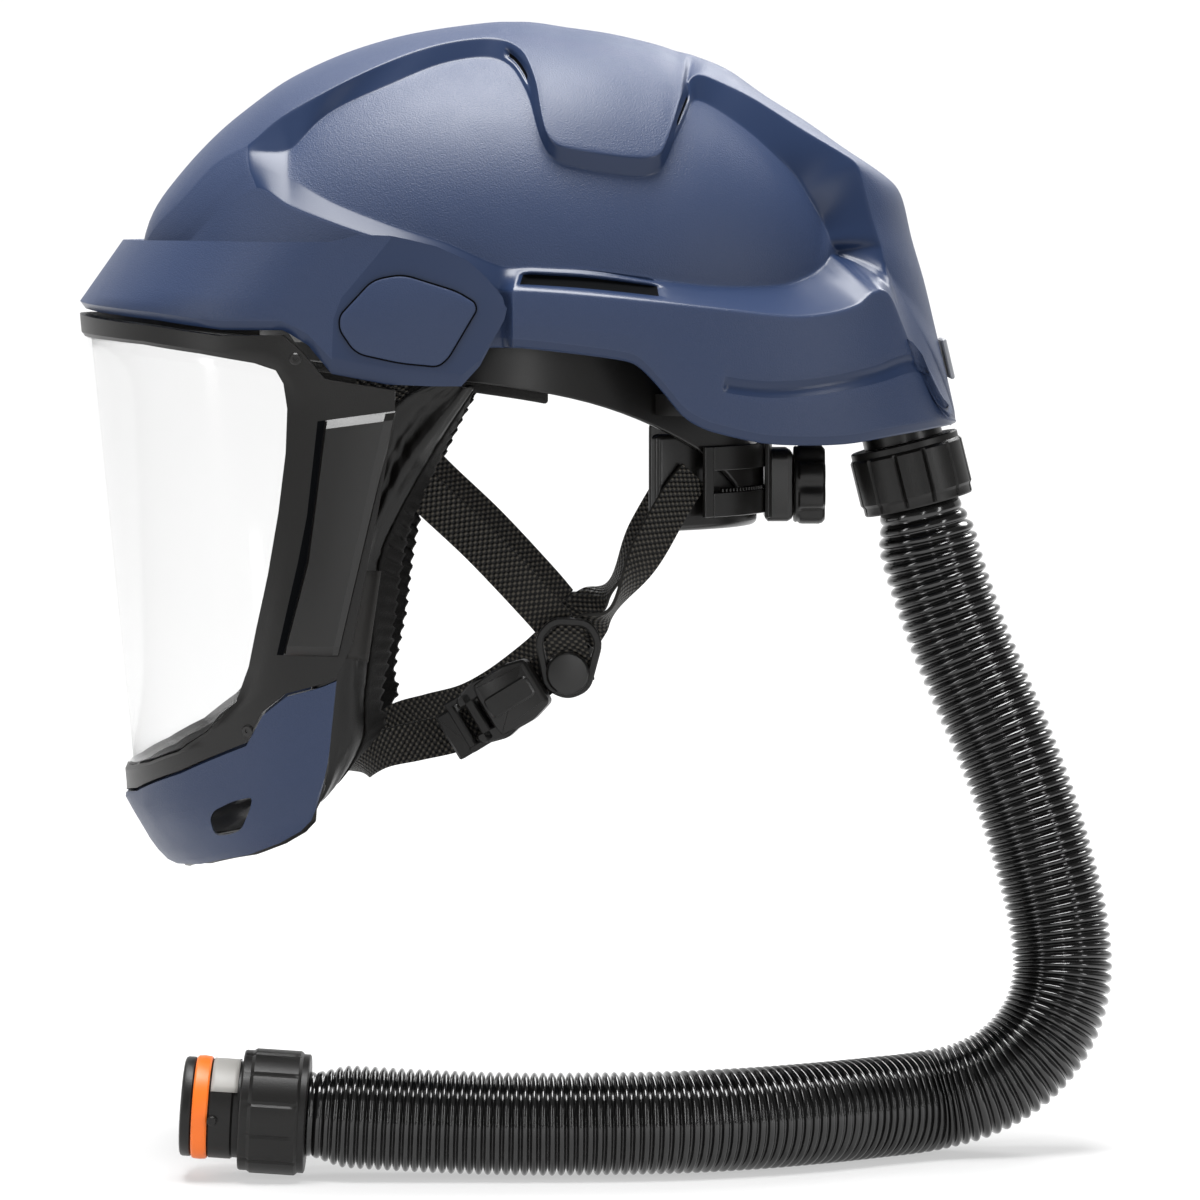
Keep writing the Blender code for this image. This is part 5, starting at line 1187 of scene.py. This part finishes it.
def joinAll(items, name):
    # One object from several, each with its own materials.
    for item in items:
        item.data.transform(item.matrix_world)
        item.matrix_world = Matrix.Identity(4)
    form = bmesh.new()
    skins = []
    for item in items:
        start = len(form.faces)
        form.from_mesh(item.data)
        form.faces.ensure_lookup_table()
        offset = len(skins)
        for face in form.faces[start:]:
            face.material_index += offset
        skins += list(item.data.materials)
    mesh = bpy.data.meshes.new(name)
    form.to_mesh(mesh)
    form.free()
    for item in items:
        bpy.data.objects.remove(item)
    made = bpy.data.objects.new(name, mesh)
    scene.collection.objects.link(made)
    for skin in skins:
        mesh.materials.append(skin)
    return made


hardware = {
    "slider": (0.056, -0.611, -0.6475), "sliderOut": 0.0018, "button": 0.0082, "buttonHeight": 0.0034,
    "buttonFoot": 0.0024, "buttonDrop": 0.0062, "buckle": (-0.004, -0.657, -0.627), "buckleOut": 0.0015,
    "keeper": (-0.064, -0.700, -0.588), "keeperOut": 0.0016,
}


def makeSlider(name, side):
    # A rounded ring with a round button over its lower half.
    s = hardware
    x, z, y = s["slider"]
    outline = cornered([(-0.0128, 0.0075), (-0.0062, 0.0150), (0.0085, 0.0142), (0.0135, 0.0060),
                        (0.0085, -0.0128), (0.0, -0.0165), (-0.0090, -0.0125)], 0.006)
    section = [(-0.0030, 0.0), (-0.0004, 0.0), (0.0, 0.0006), (0.0, 0.0028), (-0.0006, 0.0034),
               (-0.0024, 0.0034), (-0.0030, 0.0028)]
    bar = closedBar("sliderBar", outline, section, ["blackMatt"])
    r, h, foot = s["button"], s["buttonHeight"], s["buttonFoot"]
    button = lathe("sliderButton", [(0.0, 0.0), (r, 0.0), (r, foot + 0.4 * h), (r - 0.0003, foot + 0.8 * h),
                                    (r - 0.0009, foot + h), (0.6 * r, foot + 1.06 * h), (0.0, foot + 1.1 * h)],
                   ["blackSatin"])
    button.matrix_world = Matrix.Translation((0.0, -s["buttonDrop"], 0.0))
    made = joinAll([bar, button], "strap_slider_" + name)
    standOn(made, at(x, y * side, z) + Vector((0, -side * s["sliderOut"], 0)), Vector((side, 0, 0)),
            Vector((0, -side, 0)))
    settle(made, "helmet", ["slider_" + name])


def makeBuckle():
    # Side-release buckle: socket, ridge, strap end with its bar, two prongs and two cheeks.
    s = hardware
    first, third = straps["chin"][1], straps["chin"][3]
    run = (at(first[0], first[2], first[1]) - at(third[0], third[2], third[1])).normalized()
    out = Vector((run.y, -run.x, 0.0)).normalized()
    table = [
        ("blackMatt", 0.002, ((0.0125, 0.0095), (0.0125, -0.0095), (0.0035, -0.0120), (-0.0100, -0.0115),
                              (-0.0110, -0.0080), (-0.0110, 0.0080), (-0.0100, 0.0115), (0.0035, 0.0120)),
         ((0.0010, 0.0), (0.0, 0.0010), (0.0, 0.0066), (0.0009, 0.0080), (0.0022, 0.0086))),
        ("blackSatin", 0.002, ((0.0100, 0.0042), (0.0100, -0.0042), (-0.0092, -0.0042), (-0.0092, 0.0042)),
         ((0.0, 0.0080), (0.0, 0.0090), (0.0007, 0.0096))),
        ("blackMatt", 0.0012, ((-0.0125, 0.0100), (-0.0125, -0.0100), (-0.0165, -0.0108), (-0.0165, 0.0108)),
         ((0.0006, 0.0010), (0.0, 0.0016), (0.0, 0.0066), (0.0007, 0.0074))),
        ("blackMatt", 0.0012, ((-0.0205, 0.0105), (-0.0205, -0.0105), (-0.0238, -0.0105), (-0.0238, 0.0105)),
         ((0.0006, 0.0010), (0.0, 0.0016), (0.0, 0.0056), (0.0007, 0.0064))),
    ]
    for way in (1, -1):
        table.append(("blackSatin", 0.002,
                      ((0.0030, 0.0105 * way), (-0.0085, 0.0128 * way), (-0.0150, 0.0110 * way),
                       (-0.0190, 0.0095 * way), (-0.0190, 0.0055 * way), (0.0030, 0.0070 * way)),
                      ((0.0006, 0.0012), (0.0, 0.0020), (0.0, 0.0064), (0.0008, 0.0074))))
    for way in (1, -1):
        table.append(("blackMatt", 0.0008,
                      ((-0.0150, 0.0108 * way), (-0.0238, 0.0108 * way), (-0.0238, 0.0082 * way),
                       (-0.0150, 0.0082 * way)),
                      ((0.0005, 0.0010), (0.0, 0.0016), (0.0, 0.0060), (0.0006, 0.0066))))
    made = joinAll([loft("bucklePart", cornered(corners, radius), profile, [skin])
                    for skin, radius, corners, profile in table], "chin_buckle")
    x, z, y = s["buckle"]
    standOn(made, at(x, y, z) + out * s["buckleOut"], run, out)
    settle(made, "helmet", ["buckle_socket", "buckle_prongs"])
    outline = cornered([(0.0042, 0.0095), (0.0042, -0.0095), (-0.0042, -0.0095), (-0.0042, 0.0095)], 0.0012)
    keeper = loft("strap_keeper_loop", outline, ((0.0008, 0.0), (0.0, 0.0008), (0.0, 0.0050), (0.0010, 0.0060)),
                  ["blackMatt"])
    x, z, y = s["keeper"]
    standOn(keeper, at(x, y, z) + out * s["keeperOut"], run, out)
    settle(keeper, "helmet", ["strap_keeper"])


makeBuckle()
for side, name in bothSides:
    makeSlider(name, side)
    ribbon("strap_front_" + name, straps["front"], ["front_strap_" + name], side < 0)
    ribbon("strap_rear_" + name, straps["rear"], ["rear_strap_" + name], side < 0)
    ribbon("strap_turn_" + name, straps["turned"], [], side < 0)
ribbon("strap_chin", straps["chin"], ["chin_strap"], False, True)
print("straps made")

# The cradle: headband, pads, crown straps, ratchet and knob.
cradle = {
    "height": ((0, -0.235), (40, -0.242), (80, -0.262), (110, -0.290), (140, -0.350), (160, -0.405),
               (180, -0.420)),
    "centreX": -0.009, "halfLength": 0.0980, "halfWidth": 0.0800, "bandHeight": 0.0220, "bandWall": 0.0024,
    "padInset": 0.0027, "sweatHeight": 0.030, "sweatWall": 0.0040, "padHeight": 0.0370, "padWall": 0.0060,
    "padZ": -0.414, "padTurn": 54, "knobZ": -0.424, "knobRadius": 0.0160, "knobLength": 0.0120,
    "knobOut": 0.0116, "lobes": 8, "lobeDepth": 0.0022,
}
crown = {"turns": (52, 128), "width": 0.0180, "wall": 0.0014, "gap": 0.0003, "rise": 0.0010, "spacing": 0.0045,
         "arch": 0.8, "steps": 48}


def bandPoint(turn, inset, rise):
    # A point on the headband, turned in degrees from the forehead.
    s = cradle
    angle = math.radians(turn)
    middle = smooth(s["height"], min(turn % 360, 360 - turn % 360))[0] * helmetHeight
    return Vector((s["centreX"] * helmetLength - (s["halfLength"] - inset) * math.cos(angle),
                   -(s["halfWidth"] - inset) * math.sin(angle), middle + rise))


def makeCradle():
    s = cradle
    columns = [[bandPoint(4 * i, 0.0, s["bandHeight"] * (0.5 - j / 4)) for j in range(5)] for i in range(90)]
    band = gridObject("cradle_headband", columns, ["blackSatin"], True)
    wall(band, s["bandWall"])
    soften(band, 0.0007, 3)
    settle(band, "helmet", ["headband"])
    inset = s["padInset"]
    columns = [[bandPoint((-99 + 3 * i) % 360, inset, s["sweatHeight"] * (0.5 - j / 6)) for j in range(7)]
               for i in range(67)]
    pad = gridObject("cradle_sweatband", columns, ["foam"])
    wall(pad, s["sweatWall"])
    soften(pad, 0.0015, 3)
    settle(pad, "helmet", ["sweatband"])
    columns = []
    for i in range(37):
        turn = 180 - s["padTurn"] + 3 * i
        column = []
        for j in range(11):
            point = bandPoint(turn, inset, 0.0)
            point.z = s["padZ"] * helmetHeight + s["padHeight"] * (0.5 - j / 10)
            column.append(point)
        columns.append(column)
    nape = gridObject("cradle_nape_pad", columns, ["blackSatin"])
    wall(nape, s["padWall"])
    soften(nape, 0.0022, 4)
    settle(nape, "helmet", ["nape_pad"])


def makeCrownStraps():
    s = crown
    for number, turn in enumerate(s["turns"]):
        clear = cradle["bandHeight"] / 2 + s["wall"] + s["gap"]
        start, end = bandPoint(turn, 0.0, clear), bandPoint(turn + 180, 0.0, clear)
        rise = s["rise"] + number * s["spacing"] - (start.z + end.z) / 2
        wide = Vector((start.y - end.y, end.x - start.x, 0.0)).normalized() * s["width"]
        columns, walked = [], [0.0]
        for i in range(s["steps"] + 1):
            swing = math.pi * i / s["steps"]
            point = start.lerp(end, 0.5 - 0.5 * math.cos(swing))
            point.z += rise * math.sin(swing) ** s["arch"]
            columns.append([point + wide * (j / 4 - 0.5) for j in range(5)])
        for a, b in zip(columns, columns[1:]):
            walked.append(walked[-1] + (b[2] - a[2]).length)
        made = gridObject("crown_webbing_%d" % (number + 1), columns, ["webbing"],
                          uv=lambda i, j: (s["width"] * j / 4, walked[i]))
        wall(made, s["wall"], 0.0)
        soften(made, 0.0004, 2, 60)
        settle(made, "helmet", ["crown_strap_%d" % (number + 1)])


def makeRatchet():
    s = cradle
    back = s["centreX"] * helmetLength + s["halfLength"]
    z = s["knobZ"] * helmetHeight
    outline = cornered([(-0.0150, -0.0140), (0.0150, -0.0140), (0.0150, 0.0140), (-0.0150, 0.0140)], 0.004)
    housing = loft("ratchet_body", outline, ((0.0012, 0.0), (0.0, 0.0010), (0.0, 0.0085), (0.0010, 0.0102),
                                             (0.0030, 0.0110)), ["blackSatin"])
    standOn(housing, Vector((back + 0.0003, 0.0, z)), Vector((0, 1, 0)), Vector((1, 0, 0)))
    settle(housing, "helmet", ["ratchet_housing"])
    r, long = s["knobRadius"], s["knobLength"]

    def lobed(turn, radius, height):
        if radius < 0.6 * r:
            return radius
        wave = 0.5 + 0.5 * math.cos(s["lobes"] * turn)
        return radius - s["lobeDepth"] * (wave ** 2) * ease(0.0010, 0.0030, height)

    profile = [(0.0, 0.0), (0.9 * r, 0.0), (0.93 * r, 0.0006), (0.93 * r, 0.0014), (0.985 * r, 0.0022),
               (r, 0.0034), (r, 0.0060), (r, 0.8 * long), (0.97 * r, 0.92 * long), (0.90 * r, long),
               (0.72 * r, long), (0.66 * r, long - 0.0010), (0.0, long - 0.0010)]
    knob = lathe("ratchet_knob", profile, ["blackMatt"], 128, lobed)
    setAlong(knob, Vector((back + s["knobOut"], 0.0, z)), Vector((1, 0, 0)))
    settle(knob, "knob", ["knob"])


adjuster = {"turns": (141, 171), "step": 1.5, "inset": -0.0004, "wall": 0.0018, "tall": 0.0135, "slot": 0.0042,
            "tooth": 0.0016, "toothTurn": 0.35, "riser": (166.5, 170.0), "riserOver": 0.002,
            "riserOut": 0.0022}


def makeAdjuster(side, name):
    # The slotted, toothed end of the size band on one side of the nape.
    s = adjuster
    middle = cradle["padZ"] * helmetHeight

    def spot(turn, rise, inset):
        point = bandPoint(turn, inset, 0.0)
        point.z = middle + rise
        point.y *= side
        return point

    def strip(strips, turns, high, low, rows, inset=s["inset"]):
        strips.append([[spot(t, blend(high, low, j / rows), inset) for j in range(rows + 1)] for t in turns])

    start, end = s["turns"]
    turns = [start + s["step"] * i for i in range(int((end - start) / s["step"]) + 1)]
    strips = []
    strip(strips, turns, s["tall"], s["slot"], 3)
    strip(strips, turns, -s["slot"], -s["tall"], 3)
    strip(strips, (start - 3.0, start - 1.5, start), s["tall"], -s["tall"], 6)
    for t in turns[2:-4]:
        strips.append([[spot(t + k * s["toothTurn"], j * s["tooth"] - s["slot"], s["inset"]) for j in (1, 0)]
                       for k in (0, 1, 2)])
    over = s["tall"] + s["riserOver"]
    strip(strips, [blend(*s["riser"], i / 3) for i in range(4)], over, -over, 6, s["inset"] - s["riserOut"])
    made = joinAll([gridObject("adjusterPart", columns if side > 0 else columns[::-1], ["blackSatin"])
                    for columns in strips], "size_adjuster_" + name)
    made.data.materials.clear()
    made.data.materials.append(materials["blackSatin"])
    for face in made.data.polygons:
        face.material_index = 0
    wall(made, s["wall"], 1.0, False)
    soften(made, 0.0004, 2)
    settle(made, "helmet", [])


makeCradle()
makeCrownStraps()
makeRatchet()
for side, name in bothSides:
    makeAdjuster(side, name)
hidden = {"hanger_left_1": "blackSatin", "hanger_left_2": "blackSatin", "hanger_right_1": "blackSatin",
          "hanger_right_2": "blackSatin", "duct_floor": "blackMatt", "pivot_left": "blackSatin",
          "pivot_right": "blackSatin", "rear_cap": "grey"}
for nodeName, skin in hidden.items():  # CAD pieces that are shown as they are
    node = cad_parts[nodeName]
    node.data.materials.clear()
    node.data.materials.append(materials[skin])
    if nodeName == "rear_cap":
        soften(node, 0.0009, 3)
print("cradle made")

lights = {
    "top": {"spot": (-0.1, 0.0, 1.8), "aim": (0.0, 0.0, -0.1), "size": (1.5, 1.3), "power": 112.0},
    "left": {"spot": (-1.6, -1.1, 0.35), "aim": (0.0, 0.0, -0.15), "size": (0.30, 1.4), "power": 10.0},
    "right": {"spot": (1.6, -1.2, 0.2), "aim": (0.1, 0.0, -0.25), "size": (0.25, 1.4), "power": 9.0},
    "front": {"spot": (0.25, -2.9, 0.25), "aim": (0.05, 0.0, -0.25), "size": (0.15, 1.4), "power": 7.0},
    "rim": {"spot": (0.9, 1.4, 1.2), "aim": (0.05, 0.0, -0.1), "size": (1.2, 0.6), "power": 22.0},
}
studio = {"floor": -0.3981, "halfWidth": 6.0, "front": -5.0, "bend": 1.2, "bendSteps": 8, "top": 5.0,
          "glow": 0.5, "sky": 0.18}
# Matt paper: a plain pale ground that glows a little, so that it stays white.
materials["paper"] = makeMaterial("backdrop_paper", {"colour": "#9c9c9c", "roughness": 0.9, "specular": 0.0})


def makeBackdrop(s):
    floor, bend = s["floor"], s["bend"]
    columns = []
    for x in (s["halfWidth"], -s["halfWidth"]):
        line = [Vector((x, s["front"], floor)), Vector((x, bend, floor))]
        for i in range(1, s["bendSteps"] + 1):
            turn = i * math.pi / (2 * s["bendSteps"])
            line.append(Vector((x, bend + bend * math.sin(turn), floor + bend * (1 - math.cos(turn)))))
        line.append(Vector((x, 2 * bend, s["top"])))
        columns.append(line)
    shader = materials["paper"].node_tree.nodes["Principled BSDF"]
    shader.inputs["Emission Color"].default_value = (1.0, 1.0, 1.0, 1.0)
    shader.inputs["Emission Strength"].default_value = s["glow"]
    backdrop = gridObject("backdrop", columns, ["paper"])


def makeLight(name, s):
    data = bpy.data.lights.new(name, "AREA")
    data.shape = "RECTANGLE"
    data.size, data.size_y = s["size"]
    data.energy = s["power"]
    lamp = bpy.data.objects.new(name, data)
    scene.collection.objects.link(lamp)
    lamp.location = s["spot"]
    lamp.rotation_euler = (Vector(s["aim"]) - Vector(s["spot"])).to_track_quat("-Z", "Y").to_euler()


def makeSky(s):
    world = bpy.data.worlds.new("studio")
    scene.world = world
    world.use_nodes = True
    sky = world.node_tree.nodes["Background"]
    sky.inputs["Color"].default_value = (1.0, 1.0, 1.0, 1.0)
    sky.inputs["Strength"].default_value = s["sky"]
    scene.view_settings.view_transform = "Standard"
    scene.view_settings.exposure = 0.0


makeBackdrop(studio)
for lightName, settings in lights.items():
    makeLight(lightName, settings)
makeSky(studio)
print("stage made")
